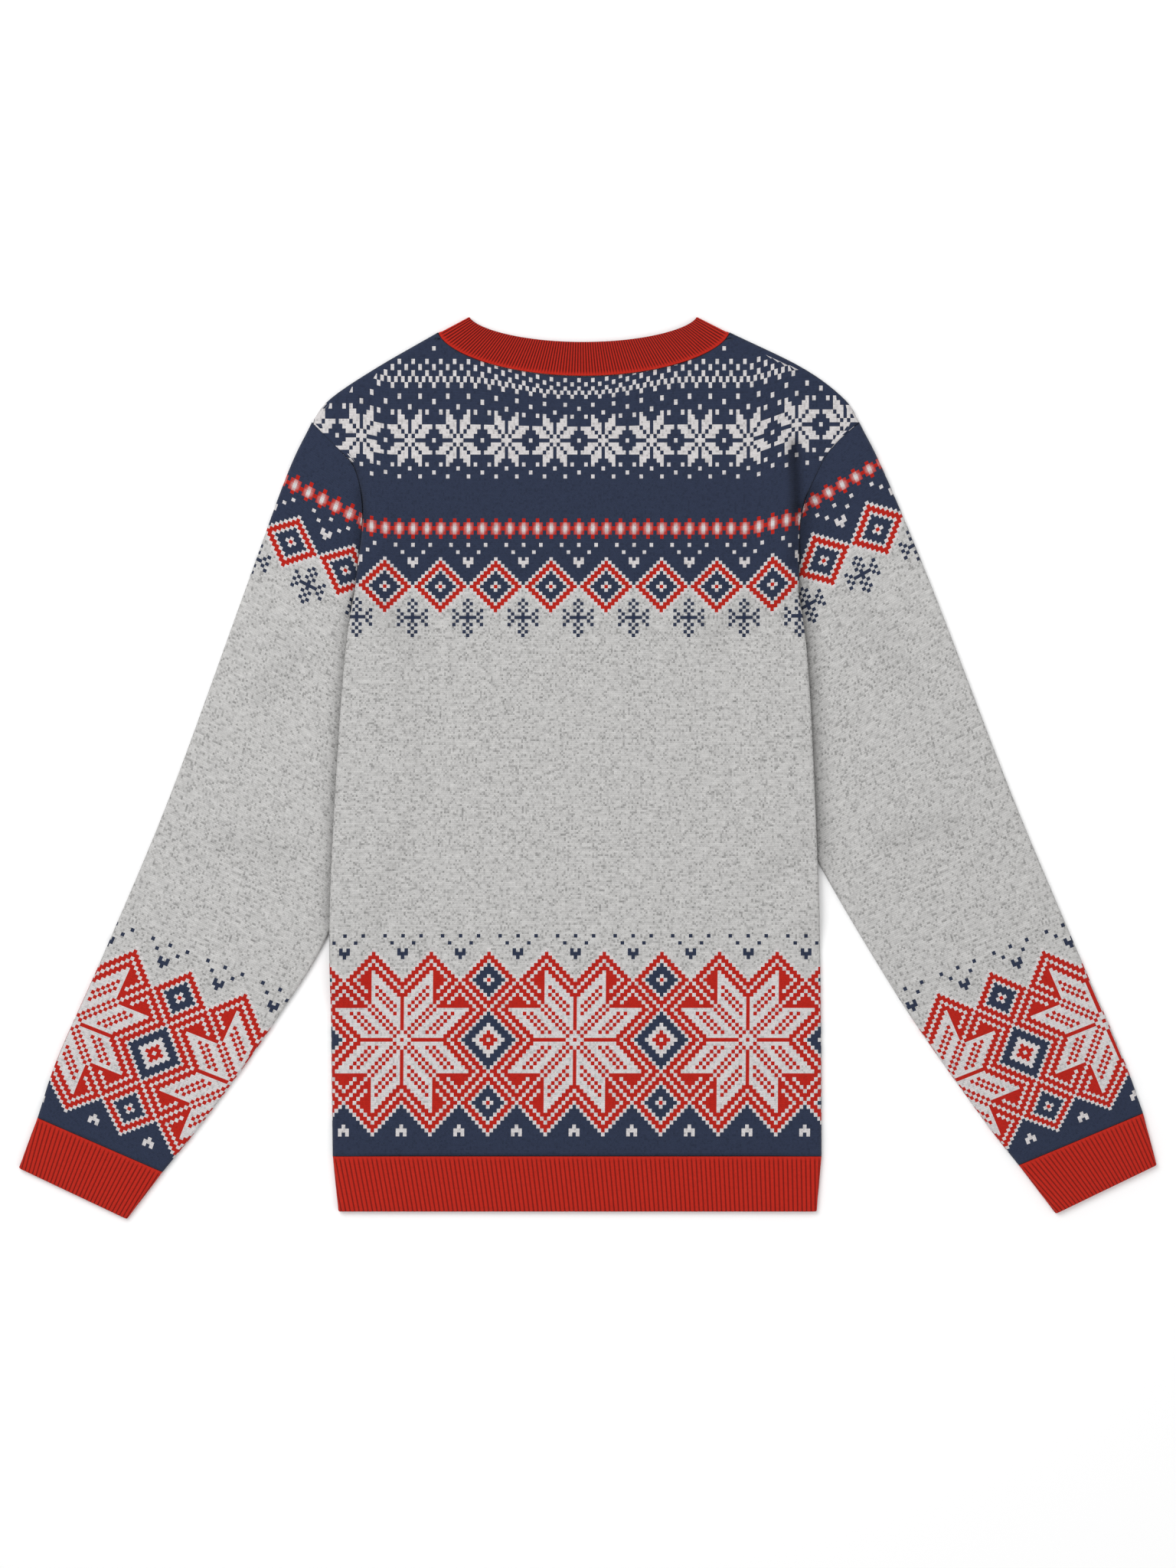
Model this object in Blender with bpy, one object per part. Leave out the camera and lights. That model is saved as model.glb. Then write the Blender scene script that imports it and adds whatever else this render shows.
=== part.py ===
"""Christmas sweater, laid flat with its back up: eight knitted pieces with thin walls.

Metres, +Z up. +Y points to the neck and +X to the wearer's right sleeve. The sweater lies on Z = 0.
In plan, a place is a distance out from the body's middle line and a height above the hem's edge.
"""

import math

import bmesh
import bpy
from mathutils import Vector

# Driving sizes
WALL = 0.0022
RIB_WALL = 0.0026
SEAM_GAP = 0.0003
BAND_GAP = 0.0005
HEM_DEPTH = 0.045
NECK_SCOOP_BACK = 0.036
NECK_SCOOP_FRONT = 0.095
BAND_SCOOP_BACK = 0.021
BAND_SCOOP_FRONT = 0.080
SCOOP_ROUNDNESS = 0.6

# How thick the flattened tubes lie, both layers together
BODY_LOFT = 0.0050
BODY_EDGE_PUFF = 0.0012
PUFF_BAND = (0.006, 0.050)
SLEEVE_LOFT = 0.0058
TUCKED_LOFT = 0.0048
HEM_LOFT = 0.0062
CUFF_LOFT = 0.0062
BAND_LOFT = 0.0062

# The body's side lies on the tucked inner part of each sleeve
TUCK_LIFT = 0.0052
TUCK_MARGIN = 0.014
TUCK_RAMP = 0.028
TUCK_ABOVE = (0.022, 0.070)
TUCK_BELOW = (0.035, 0.065)

# Soft roll of cloth beside each armhole seam, between two heights above the hem's edge
ROLL_DISTANCE = 0.018
ROLL_HEIGHT = {"left": 0.0014, "right": 0.0026}
ROLL_TOP = (0.655, 0.600)
ROLL_BOTTOM = (0.470, 0.530)
ROLL_FADE_ON_SLEEVE = (0.30, 0.70)

# The body's side seams: height above the hem's edge, then distance out on each side
SIDES = (
    # above_hem, left, right
    (0.045, 0.1981, 0.1984),
    (0.150, 0.1993, 0.1980),
    (0.250, 0.2003, 0.1962),
    (0.386, 0.1931, 0.1907),
    (0.461, 0.1869, 0.1857),
    (0.503, 0.1801, 0.1795),
)

# The armhole seams, from the armpit to the tip of the shoulder
ARMHOLES = (
    # above_hem, left, right
    (0.503, 0.1801, 0.1795),
    (0.564, 0.1739, 0.1820),
    (0.602, 0.1801, 0.1962),
    (0.622, 0.1975, 0.2093),
    (0.640, 0.2150, 0.2290),
)

# The shoulder seams, from the tip to the neckband
SHOULDERS = (
    # above_hem, left, right
    (0.640, 0.2150, 0.2290),
    (0.659, 0.2000, 0.2167),
    (0.684, 0.1628, 0.1832),
    (0.713, 0.1125, 0.1237),
)

# Where the neckband folds over at its two ends
BAND_PEAKS = (
    # above_hem, left, right
    (0.726, 0.0871, 0.0970),
)

# The two folded edges of each sleeve, from the armhole to the cuff seam
SLEEVE_OUTER = {
    "left": (
        # out, above_hem
        (0.2150, 0.6400),
        (0.2353, 0.5971),
        (0.2713, 0.4979),
        (0.3302, 0.3367),
        (0.3822, 0.2127),
        (0.4207, 0.1259),
        (0.4374, 0.0763),
    ),
    "right": (
        # out, above_hem
        (0.2290, 0.6400),
        (0.2502, 0.5971),
        (0.2911, 0.4979),
        (0.3531, 0.3367),
        (0.4052, 0.2127),
        (0.4424, 0.1259),
        (0.4591, 0.0800),
    ),
}
SLEEVE_INNER = {
    "left": (
        # out, above_hem
        (0.1801, 0.5030),
        (0.1812, 0.4850),
        (0.1660, 0.4300),
        (0.1620, 0.3400),
        (0.2000, 0.2282),
        (0.2471, 0.1507),
        (0.3004, 0.0763),
        (0.3358, 0.0322),
    ),
    "right": (
        # out, above_hem
        (0.1795, 0.5030),
        (0.1785, 0.4850),
        (0.1640, 0.4300),
        (0.1660, 0.3650),
        (0.1838, 0.3057),
        (0.2595, 0.1755),
        (0.3283, 0.0763),
        (0.3581, 0.0378),
    ),
}

# The open ends of the cuffs
CUFF_ENDS = {
    # side: outer out, outer above_hem, inner out, inner above_hem
    "left": (0.4526, 0.0353, 0.3649, -0.0062),
    "right": (0.4703, 0.0378, 0.3884, -0.0019),
}
HEM_EDGE = {"left": 0.1935, "right": 0.1945}

# Where the frame's origin lies, from the middle of the hem's edge
MIDDLE_OUT = (CUFF_ENDS["right"][0] - CUFF_ENDS["left"][0]) / 2
MIDDLE_HEIGHT = (BAND_PEAKS[0][0] + CUFF_ENDS["left"][3]) / 2

SIGN = {"left": -1.0, "right": 1.0}
COLUMN = {"left": 1, "right": 2}

# How finely the outlines are drawn before the panels take their points from them
CURVE_STEPS = 24
LINE_POINTS = 60

# Distances from a folded edge at which the cloth's section has a point
FOLD_STEPS = (0.0, 0.0009, 0.0032)
EDGE_STEPS = FOLD_STEPS + (0.010, 0.020, 0.032, 0.044, 0.060)
SHOULDER_SHARE = 0.27
NECK_COLUMNS = 12
SIDE_ROWS = 12
SLEEVE_STATIONS = 15
FIRST_BELOW_ARMPIT = 4
# Shares of their depth and width where the ribs have points
RIB_ROWS = (0.35, 0.70, 1.0)
HEM_COLUMNS = 12
CUFF_COLUMNS = 5
# Shares of the armhole from the armpit up, where the body and the sleeve both have a point
ARMHOLE_SHARES = (0.0, 0.14, 0.28, 0.42, 0.56, 0.72, 0.853, 0.933, 1.0)
# A sleeve is pressed thinner where it is tucked under the body: where across it, and from how far below the gap
SQUEEZE_ACROSS = (0.45, 0.70)
SQUEEZE_BELOW_GAP = (0.06, 0.01)
BEND_END = 0.12
# Sections turn quickly from the slanted armhole to square across the sleeve
OUTER_EASE = 0.85
INNER_EASE = 1.30
MOST_STRETCH = 2.0
ON_FOLD = 1e-4
SHARP_ANGLE = math.radians(50)
BODY_MIDDLE = Vector((0.0, 0.4))

COLORS = {
    # finish: red, green, blue
    "grey_jacquard": (0.50, 0.49, 0.48),
    "red_rib": (0.42, 0.02, 0.01),
}


def smooth_between(low, high, value):
    """Rises softly from 0 at low to 1 at high."""
    share = min(max((value - low) / (high - low), 0.0), 1.0)
    return share * share * (3.0 - 2.0 * share)


def rounded_curve(points, count):
    """Points at even steps along a smooth curve through the given plan points."""
    points = [Vector(point) for point in points]
    first = points[0] * 2 - points[1]
    last = points[-1] * 2 - points[-2]
    padded = [first] + points + [last]
    fine = []
    for index in range(len(points) - 1):
        before, start, end, after = padded[index : index + 4]
        for step in range(CURVE_STEPS):
            share = step / CURVE_STEPS
            blend = (
                start * 2
                + (end - before) * share
                + (before * 2 - start * 5 + end * 4 - after) * share**2
                + (start * 3 - before - end * 3 + after) * share**3
            )
            fine.append(blend / 2)
    fine.append(points[-1])
    return resample(fine, [step / (count - 1) for step in range(count)])


def resample(line, shares):
    """Points on a polyline at shares of its length."""
    lengths = [0.0]
    for start, end in zip(line, line[1:]):
        lengths.append(lengths[-1] + (end - start).length)
    found = []
    for share in shares:
        target = share * lengths[-1]
        index = 0
        while index < len(line) - 2 and lengths[index + 1] < target:
            index += 1
        part = (target - lengths[index]) / max(lengths[index + 1] - lengths[index], 1e-9)
        found.append(line[index].lerp(line[index + 1], min(max(part, 0.0), 1.0)))
    return found


def table_line(table, side):
    """A side's line from a table of heights and distances out, as plan points."""
    points = [(SIGN[side] * row[COLUMN[side]], row[0]) for row in table]
    return rounded_curve(points, LINE_POINTS)


def shares_of(line):
    """The shares of a polyline's length at which its own points lie."""
    lengths = [0.0]
    for start, end in zip(line, line[1:]):
        lengths.append(lengths[-1] + (end - start).length)
    return [length / lengths[-1] for length in lengths]


def edge_line(table, side):
    """A sleeve's folded edge as plan points."""
    return rounded_curve([(SIGN[side] * out, height) for out, height in table[side]], LINE_POINTS)


SIDE_LINES = {side: table_line(SIDES, side) for side in SIGN}
ARMHOLE_LINES = {side: resample(table_line(ARMHOLES, side), ARMHOLE_SHARES) for side in SIGN}
SHOULDER_LINES = {side: table_line(SHOULDERS, side) for side in SIGN}
OUTER_LINES = {side: edge_line(SLEEVE_OUTER, side) for side in SIGN}
INNER_LINES = {side: edge_line(SLEEVE_INNER, side) for side in SIGN}
PEAKS = {side: Vector((SIGN[side] * BAND_PEAKS[0][COLUMN[side]], BAND_PEAKS[0][0])) for side in SIGN}
JOINTS = {side: SHOULDER_LINES[side][-1] for side in SIGN}
ARMPIT_HEIGHT = SIDES[-1][0]


def out_at(line, height):
    """How far out a line lies at a height."""
    for start, end in zip(line, line[1:]):
        low, high = sorted((start.y, end.y))
        if low <= height <= high and high > low:
            return abs(start.x + (end.x - start.x) * (height - start.y) / (end.y - start.y))
    nearest = min((line[0], line[-1]), key=lambda point: abs(point.y - height))
    return abs(nearest.x)


def gap_height(side):
    """The height where the sleeve's inner edge comes out from under the body."""
    for point in INNER_LINES[side][FIRST_BELOW_ARMPIT:]:
        if abs(point.x) > out_at(SIDE_LINES[side], point.y):
            return point.y
    return SIDES[0][0]


GAP_HEIGHTS = {side: gap_height(side) for side in SIGN}


def nearest_on(line, point):
    """The distance to a polyline, its nearest point, and the direction square to it there."""
    best = None
    for start, end in zip(line, line[1:]):
        run = end - start
        share = min(max((point - start).dot(run) / run.length_squared, 0.0), 1.0)
        foot = start + run * share
        distance = (foot - point).length
        if best is None or distance < best[0]:
            best = (distance, foot, Vector((run.y, -run.x)).normalized())
    return best


def fold_near(lines, point, inside):
    """The distance to the nearest folded edge, and the direction out over it."""
    distance, foot, square = min((nearest_on(line, point) for line in lines), key=lambda found: found[0])
    if distance > ON_FOLD:
        return distance, (foot - point).normalized()
    if square.dot(point - inside) < 0:
        square = -square
    return 0.0, square


def tuck_lift(point):
    """How far the body is held up where it lies on a sleeve's tucked part."""
    side = "left" if point.x < 0 else "right"
    height = point.y
    if height > ARMPIT_HEIGHT:
        strip = out_at(ARMHOLE_LINES[side], height)
    else:
        strip = min(out_at(SIDE_LINES[side], height), out_at(INNER_LINES[side], height))
    start = strip - TUCK_MARGIN
    across = smooth_between(start - TUCK_RAMP, start, abs(point.x))
    above = 1.0 - smooth_between(ARMPIT_HEIGHT + TUCK_ABOVE[0], ARMPIT_HEIGHT + TUCK_ABOVE[1], height)
    below = smooth_between(GAP_HEIGHTS[side] - TUCK_BELOW[1], GAP_HEIGHTS[side] - TUCK_BELOW[0], height)
    return TUCK_LIFT * across * above * below


def armhole_roll(point):
    """How far the upper layer rises beside an armhole seam."""
    side = "left" if point.x < 0 else "right"
    share = nearest_on(ARMHOLE_LINES[side], point)[0] / ROLL_DISTANCE
    along = smooth_between(*ROLL_TOP, point.y) * smooth_between(*ROLL_BOTTOM, point.y)
    return ROLL_HEIGHT[side] * share * math.exp(1.0 - share) * along


def body_loft(distance):
    """Both layers of the body together, at a distance from its folded edge."""
    puff = BODY_EDGE_PUFF * (1.0 - smooth_between(*PUFF_BAND, distance))
    return BODY_LOFT + puff


def wall_points(point, fold, loft, base, upper, wall, roll=0.0):
    """The outer and inner point of one layer of a flattened tube, with its edge rolled round."""
    distance, direction = fold
    radius = loft / 2
    middle = base + radius
    cosine = max(0.0, 1.0 - distance / radius)
    sine = math.sqrt(1.0 - cosine**2)
    face = 1.0 if upper else -1.0
    rise = max(radius * sine, SEAM_GAP / 2)
    outer = Vector((point.x, point.y, middle + face * rise))
    normal = Vector((direction.x * cosine, direction.y * cosine, face * sine))
    inner = outer - normal * wall
    if upper:
        outer.z += roll * sine
        inner.z += roll * sine
    return outer, inner


def in_frame(point):
    """From the garment's plan to the frame."""
    return Vector((point.x - MIDDLE_OUT, point.y - MIDDLE_HEIGHT, point.z))


def split_flattest(quad):
    """Two triangles from four corners, along the diagonal that bends least."""
    best = None
    for turn in (0, 1):
        first, second, third, fourth = quad[turn:] + quad[:turn]
        near = (second.co - first.co).cross(third.co - first.co)
        far = (third.co - first.co).cross(fourth.co - first.co)
        flatness = near.normalized().dot(far.normalized())
        if best is None or flatness > best[0]:
            best = (flatness, ((first, second, third), (first, third, fourth)))
    return best[1]


def shell(name, rows, around, finish):
    """A closed wall from rows of outer and inner points; around joins each row's ends."""
    mesh = bpy.data.meshes.new(name)
    build = bmesh.new()
    outer = [[build.verts.new(in_frame(pair[0])) for pair in row] for row in rows]
    inner = [[build.verts.new(in_frame(pair[1])) for pair in row] for row in rows]
    columns = len(rows[0])
    last_row = len(rows) - 1
    spans = range(columns if around else columns - 1)
    quads = []
    for row in range(last_row):
        for column in spans:
            right = (column + 1) % columns
            corners = ((row, column), (row, right), (row + 1, right), (row + 1, column))
            quads.append([outer[i][j] for i, j in corners])
            quads.append([inner[i][j] for i, j in reversed(corners)])
    for row in (0, last_row):
        for column in spans:
            right = (column + 1) % columns
            quads.append((outer[row][column], inner[row][column], inner[row][right], outer[row][right]))
    if not around:
        for column in (0, columns - 1):
            for row in range(last_row):
                ends = (outer[row][column], outer[row + 1][column])
                quads.append(ends + (inner[row + 1][column], inner[row][column]))
    for quad in quads:
        for triangle in split_flattest(quad):
            build.faces.new(triangle)
    bmesh.ops.recalc_face_normals(build, faces=build.faces)
    if build.calc_volume(signed=True) < 0:
        bmesh.ops.reverse_faces(build, faces=build.faces)
    build.to_mesh(mesh)
    build.free()
    mesh.shade_smooth()
    mesh.set_sharp_from_angle(angle=SHARP_ANGLE)
    piece = bpy.data.objects.new(name, mesh)
    piece.data.materials.append(finish)
    bpy.context.scene.collection.objects.link(piece)
    return piece


def fabric(name):
    """A matt knitted finish."""
    material = bpy.data.materials.new(name)
    material.use_nodes = True
    surface = material.node_tree.nodes["Principled BSDF"]
    surface.inputs["Base Color"].default_value = (*COLORS[name], 1.0)
    surface.inputs["Roughness"].default_value = 0.9
    surface.inputs["Metallic"].default_value = 0.0
    return material


def scoop(ends, depth, share):
    """A point on a rounded neckline between two ends; share runs from -1 to 1."""
    level = ends["left"].lerp(ends["right"], (share + 1.0) / 2)
    drop = depth * max(0.0, 1.0 - share * share) ** SCOOP_ROUNDNESS
    return Vector((level.x, level.y - drop))


def neck_shares(count):
    """Shares from -1 to 1, closer together at the steep ends."""
    return [-math.cos(math.pi * step / count) for step in range(count + 1)]


# Body panels


def panel_columns():
    """Shares of the panel's width where its columns lie."""
    width = SIDES[0][COLUMN["left"]] + SIDES[0][COLUMN["right"]]
    left = [step / width for step in EDGE_STEPS]
    neck_width = 1.0 - 2 * SHOULDER_SHARE
    neck = [SHOULDER_SHARE + neck_width * (share + 1.0) / 2 for share in neck_shares(NECK_COLUMNS)]
    return left + neck + [1.0 - share for share in reversed(left)]


def panel_top(share, depth):
    """The panel's upper edge: shoulder, neckline, shoulder."""
    if share < SHOULDER_SHARE:
        return resample(SHOULDER_LINES["left"], [share / SHOULDER_SHARE])[0]
    if share > 1.0 - SHOULDER_SHARE:
        return resample(SHOULDER_LINES["right"], [(1.0 - share) / SHOULDER_SHARE])[0]
    return scoop(JOINTS, depth, 2 * (share - SHOULDER_SHARE) / (1.0 - 2 * SHOULDER_SHARE) - 1.0)


def armhole_ends(side):
    """The panel's edge points up the armhole, closer together at the shoulder's fold."""
    line = ARMHOLE_LINES[side]
    down = (line[-2] - line[-1]).normalized()
    near_tip = [line[-1] + down * step for step in reversed(FOLD_STEPS)]
    return line[:-1] + near_tip


def panel_edges():
    """Each row's left and right end, and its share of the panel's height."""
    edges = []
    side_share = (ARMPIT_HEIGHT - HEM_DEPTH) / (ARMHOLES[-1][0] - HEM_DEPTH)
    for row in range(SIDE_ROWS):
        share = row / SIDE_ROWS
        ends = [resample(SIDE_LINES[side], [share])[0] for side in ("left", "right")]
        edges.append((side_share * share, *ends))
    left_ends = armhole_ends("left")
    shares = shares_of(left_ends)
    for share, left, right in zip(shares, left_ends, armhole_ends("right")):
        edges.append((side_share + (1.0 - side_share) * share, left, right))
    return edges


def panel_points(neck_depth):
    """The panel's grid in plan. Each row is pulled to its ends, and the pull fades towards the neck."""
    bottom = (SIDE_LINES["left"][0], SIDE_LINES["right"][0])
    top = (SHOULDER_LINES["left"][0], SHOULDER_LINES["right"][0])
    grid = []
    for up, left, right in panel_edges():
        row = []
        for across in panel_columns():
            point = bottom[0].lerp(bottom[1], across).lerp(panel_top(across, neck_depth), up)
            point += (left - bottom[0].lerp(top[0], up)) * smooth_between(SHOULDER_SHARE, 0.0, across)
            point += (right - bottom[1].lerp(top[1], up)) * smooth_between(1.0 - SHOULDER_SHARE, 1.0, across)
            row.append(point)
        grid.append(row)
    return grid


def body_panel(name, upper, neck_depth):
    """The back or the front: a sheet whose sides and shoulders roll to half height."""
    grid = panel_points(neck_depth)
    below_fold = -len(FOLD_STEPS) - 1
    rows = []
    for index, points in enumerate(grid):
        row = []
        folds = list((SIDE_LINES if index <= SIDE_ROWS else SHOULDER_LINES).values())
        for column, point in enumerate(points):
            distance, outward = fold_near(folds, point, BODY_MIDDLE)
            if index > SIDE_ROWS:
                upward = (grid[-1][column] - grid[below_fold][column]).normalized()
                outward = upward / max(upward.dot(outward), 1.0 / MOST_STRETCH)
            loft = body_loft(distance)
            fold = (distance, outward)
            row.append(wall_points(point, fold, loft, tuck_lift(point), upper, WALL, armhole_roll(point)))
        rows.append(row)
    return shell(name, rows, False, fabric("grey_jacquard"))


# Rings: sleeves, cuffs and the hem's rib


def stretch(direction, fold, point):
    """How much longer steps along a slanted section are than steps square to its fold."""
    square = nearest_on(fold, point)[2]
    return min(1.0 / max(abs(direction.dot(square)), 1.0 / MOST_STRETCH), MOST_STRETCH)


def ring_row(line, folds, shares, loft_at, wall):
    """One section of a flattened tube along a plan line: its upper layer, then its lower one.

    The section stays in the upright surface over its line, so slanted sections are drawn out.
    """
    width = sum((end - start).length for start, end in zip(line, line[1:]))
    outward = ((line[0] - line[1]).normalized(), (line[-1] - line[-2]).normalized())
    drawn_out = [stretch(outward[end], folds[end], line[-end]) for end in (0, 1)]
    steps = [step * drawn_out[0] for step in FOLD_STEPS]
    steps += [share * width for share in shares]
    steps += [width - step * drawn_out[1] for step in reversed(FOLD_STEPS)]
    upper = []
    lower = []
    for step in steps:
        point = resample(line, [step / width])[0]
        end = 0 if step < width / 2 else 1
        distance = min(step, width - step) / drawn_out[end]
        fold = (distance, outward[end] * drawn_out[end])
        loft, roll = loft_at(point, step / width)
        upper.append(wall_points(point, fold, loft, 0.0, True, wall, roll))
        lower.append(wall_points(point, fold, loft, 0.0, False, wall))
    for end in (0, 1):
        loft = loft_at(line[-end], float(end))[0]
        upper[-end] = lower[-end] = level_point(line[-end], outward[end] * drawn_out[end], loft, wall)
    return upper + lower[-2:0:-1]


def level_point(point, outward, loft, wall):
    """The outer and inner point on a tube's fold, at half height."""
    outer = Vector((point.x, point.y, loft / 2))
    return outer, outer - Vector((outward.x, outward.y, 0.0)) * wall


def sleeve(side):
    """A sleeve from its armhole seam to its cuff seam, its inner part tucked under the body."""
    shift = Vector((SIGN[side] * SEAM_GAP, 0.0))
    armhole = [point + shift for point in reversed(ARMHOLE_LINES[side])]
    shares = [station / (SLEEVE_STATIONS - 1) for station in range(SLEEVE_STATIONS)]
    outer = resample(OUTER_LINES[side], [share**OUTER_EASE for share in shares])
    inner = resample(INNER_LINES[side], [share**INNER_EASE for share in shares])
    folds = (OUTER_LINES[side], INNER_LINES[side])
    armhole_shares = shares_of(armhole)
    rows = []
    for station, along in enumerate(shares):
        straight = [outer[station].lerp(inner[station], share) for share in armhole_shares]
        bend = 1.0 - smooth_between(0.0, BEND_END, along)
        chord = [armhole[0].lerp(armhole[-1], share) for share in armhole_shares]
        line = [flat + (bow - base) * bend for flat, bow, base in zip(straight, armhole, chord)]
        if station == 0:
            line = armhole
        squeeze_ends = [GAP_HEIGHTS[side] - below for below in SQUEEZE_BELOW_GAP]
        tucked = smooth_between(*squeeze_ends, inner[station].y)

        def loft_at(point, share, tucked=tucked):
            squeeze = (SLEEVE_LOFT - TUCKED_LOFT) * tucked * smooth_between(*SQUEEZE_ACROSS, share)
            roll = armhole_roll(point) * (1.0 - smooth_between(*ROLL_FADE_ON_SLEEVE, share))
            return SLEEVE_LOFT - squeeze, roll

        rows.append(ring_row(line, folds, shares_of(line)[1:-1], loft_at, WALL))
    return shell(f"sleeve_{side}", rows, True, fabric("grey_jacquard"))


def rib_ring(name, lines, loft, shares):
    """A flattened rib ring through plan lines across it."""
    folds = ([line[0] for line in lines], [line[-1] for line in lines])
    rows = [ring_row(line, folds, shares, lambda _point, _share: (loft, 0.0), RIB_WALL) for line in lines]
    return shell(name, rows, True, fabric("red_rib"))


def even_shares(count):
    """The inner ends of equal parts of a width."""
    return [step / count for step in range(1, count)]


def cuff(side):
    """The rib at a sleeve's end."""
    outer_out, outer_height, inner_out, inner_height = CUFF_ENDS[side]
    start = (OUTER_LINES[side][-1], INNER_LINES[side][-1])
    end = (Vector((SIGN[side] * outer_out, outer_height)), Vector((SIGN[side] * inner_out, inner_height)))
    length = (end[0] - start[0]).length
    lines = [
        [start[0].lerp(end[0], share), start[1].lerp(end[1], share)]
        for share in (SEAM_GAP / length, *RIB_ROWS)
    ]
    return rib_ring(f"cuff_{side}", lines, CUFF_LOFT, even_shares(CUFF_COLUMNS))


def hem_band():
    """The rib below the body."""
    top = (SIDE_LINES["left"][0], SIDE_LINES["right"][0])
    bottom = (Vector((-HEM_EDGE["left"], 0.0)), Vector((HEM_EDGE["right"], 0.0)))
    lines = [
        [top[0].lerp(bottom[0], share), top[1].lerp(bottom[1], share)]
        for share in (SEAM_GAP / HEM_DEPTH, *RIB_ROWS)
    ]
    return rib_ring("hem_band", lines, HEM_LOFT, even_shares(HEM_COLUMNS))


def neckband():
    """The band round the neck: its back half lies on the upper layer, its front half below."""
    ends = {side: JOINTS[side] - Vector((SIGN[side] * BAND_GAP, 0.0)) for side in SIGN}
    folds = [[ends[side], PEAKS[side]] for side in SIGN]
    shares = neck_shares(NECK_COLUMNS)
    halves = (
        # upper, seam scoop, edge scoop, shares
        (True, NECK_SCOOP_BACK, BAND_SCOOP_BACK, shares),
        (False, NECK_SCOOP_FRONT, BAND_SCOOP_FRONT, shares[-2:0:-1]),
    )
    rows = []
    for across in (0.0, *RIB_ROWS):
        row = []
        for upper, seam_depth, edge_depth, half in halves:
            for share in half:
                seam = scoop(ends, seam_depth - BAND_GAP, share)
                edge = scoop(PEAKS, edge_depth, share)
                point = seam.lerp(edge, across)
                if abs(share) == 1.0:
                    side = "left" if share < 0 else "right"
                    outward = (ends[side] - PEAKS[side]).normalized()
                    outward = Vector((-outward.y, outward.x)) * SIGN[side]
                    row.append(level_point(point, outward, BAND_LOFT, RIB_WALL))
                    continue
                fold = fold_near(folds, point, BODY_MIDDLE)
                row.append(wall_points(point, fold, BAND_LOFT, 0.0, upper, RIB_WALL))
        rows.append(row)
    return shell("neckband", rows, True, fabric("red_rib"))


def main():
    for leftover in list(bpy.data.objects):
        bpy.data.objects.remove(leftover, do_unlink=True)
    body_panel("back_panel", True, NECK_SCOOP_BACK)
    body_panel("front_panel", False, NECK_SCOOP_FRONT)
    for side in SIGN:
        sleeve(side)
        cuff(side)
    hem_band()
    neckband()


main()
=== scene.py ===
"""Christmas sweater, laid flat with its back up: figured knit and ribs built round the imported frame.

Metres, +Z up. A place in plan is a distance out from the body's middle line, below zero on the left,
and a height above the hem's edge. The knitted figures are counted in columns and rows of cells, and
each cell is one face of the cloth.
"""

import math

import bmesh
import bpy
import numpy as np
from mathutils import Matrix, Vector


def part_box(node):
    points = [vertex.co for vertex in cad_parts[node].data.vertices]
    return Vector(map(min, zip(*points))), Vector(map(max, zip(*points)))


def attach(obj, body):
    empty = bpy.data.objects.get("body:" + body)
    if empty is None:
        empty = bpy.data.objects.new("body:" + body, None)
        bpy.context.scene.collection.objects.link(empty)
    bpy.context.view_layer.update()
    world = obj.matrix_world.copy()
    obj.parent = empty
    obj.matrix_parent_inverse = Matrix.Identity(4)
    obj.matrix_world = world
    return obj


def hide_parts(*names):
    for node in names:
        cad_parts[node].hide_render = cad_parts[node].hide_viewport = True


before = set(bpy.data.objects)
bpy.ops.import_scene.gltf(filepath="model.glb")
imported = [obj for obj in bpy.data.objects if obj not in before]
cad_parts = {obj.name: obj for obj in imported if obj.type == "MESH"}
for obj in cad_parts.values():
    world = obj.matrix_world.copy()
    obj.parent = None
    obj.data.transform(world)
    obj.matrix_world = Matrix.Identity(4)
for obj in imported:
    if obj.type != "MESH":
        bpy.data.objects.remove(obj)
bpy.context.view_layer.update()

# Walls and lofts: the cloth keeps to the outside of its solids
KNIT_WALL = 0.0014
RIB_WALL = 0.0022
SEAM_GAP = 0.0003
ARMHOLE_GAP = 0.0001
BAND_GAP = 0.0005
HEM_DEPTH = 0.045
BODY_LOFT = 0.0050
BODY_EDGE_PUFF = 0.0012
PUFF_BAND = (0.006, 0.050)
SLEEVE_LOFT = 0.0058
TUCKED_LOFT = 0.0048
RIB_LOFT = 0.0062
NECK_SCOOP = {"back": 0.036, "front": 0.095}
BAND_SCOOP = {"back": 0.021, "front": 0.080}
SCOOP_ROUNDNESS = 0.6

# The body's side lies on the tucked inner part of each sleeve
TUCK_LIFT = 0.0052
TUCK_MARGIN = 0.014
TUCK_RAMP = 0.028
TUCK_ABOVE = (0.022, 0.070)
TUCK_BELOW = (0.065, 0.035)
SQUEEZE_ACROSS = (0.020, -0.002)
SQUEEZE_BELOW_GAP = (0.06, 0.01)

# Soft roll of cloth beside each armhole seam
ROLL_DISTANCE = 0.018
ROLL_HEIGHT = {"left": 0.0014, "right": 0.0026}
ROLL_TOP = (0.655, 0.600)
ROLL_BOTTOM = (0.470, 0.530)
ROLL_ON_SLEEVE = (0.545, 0.600)

# How far up the armhole the body is folded, and where its section has points beside a fold
FOLD_TOP = 0.585
FOLD_STEPS = (0.0, 0.0004, 0.0012, 0.0020, 0.0028)
FOLD_MARGIN = FOLD_STEPS[-1]
MOST_STRETCH = 2.2
CURVE_STEPS = 12
ROW_END_STEPS = 24
FOLD_RADIUS = SLEEVE_LOFT / 2
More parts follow.
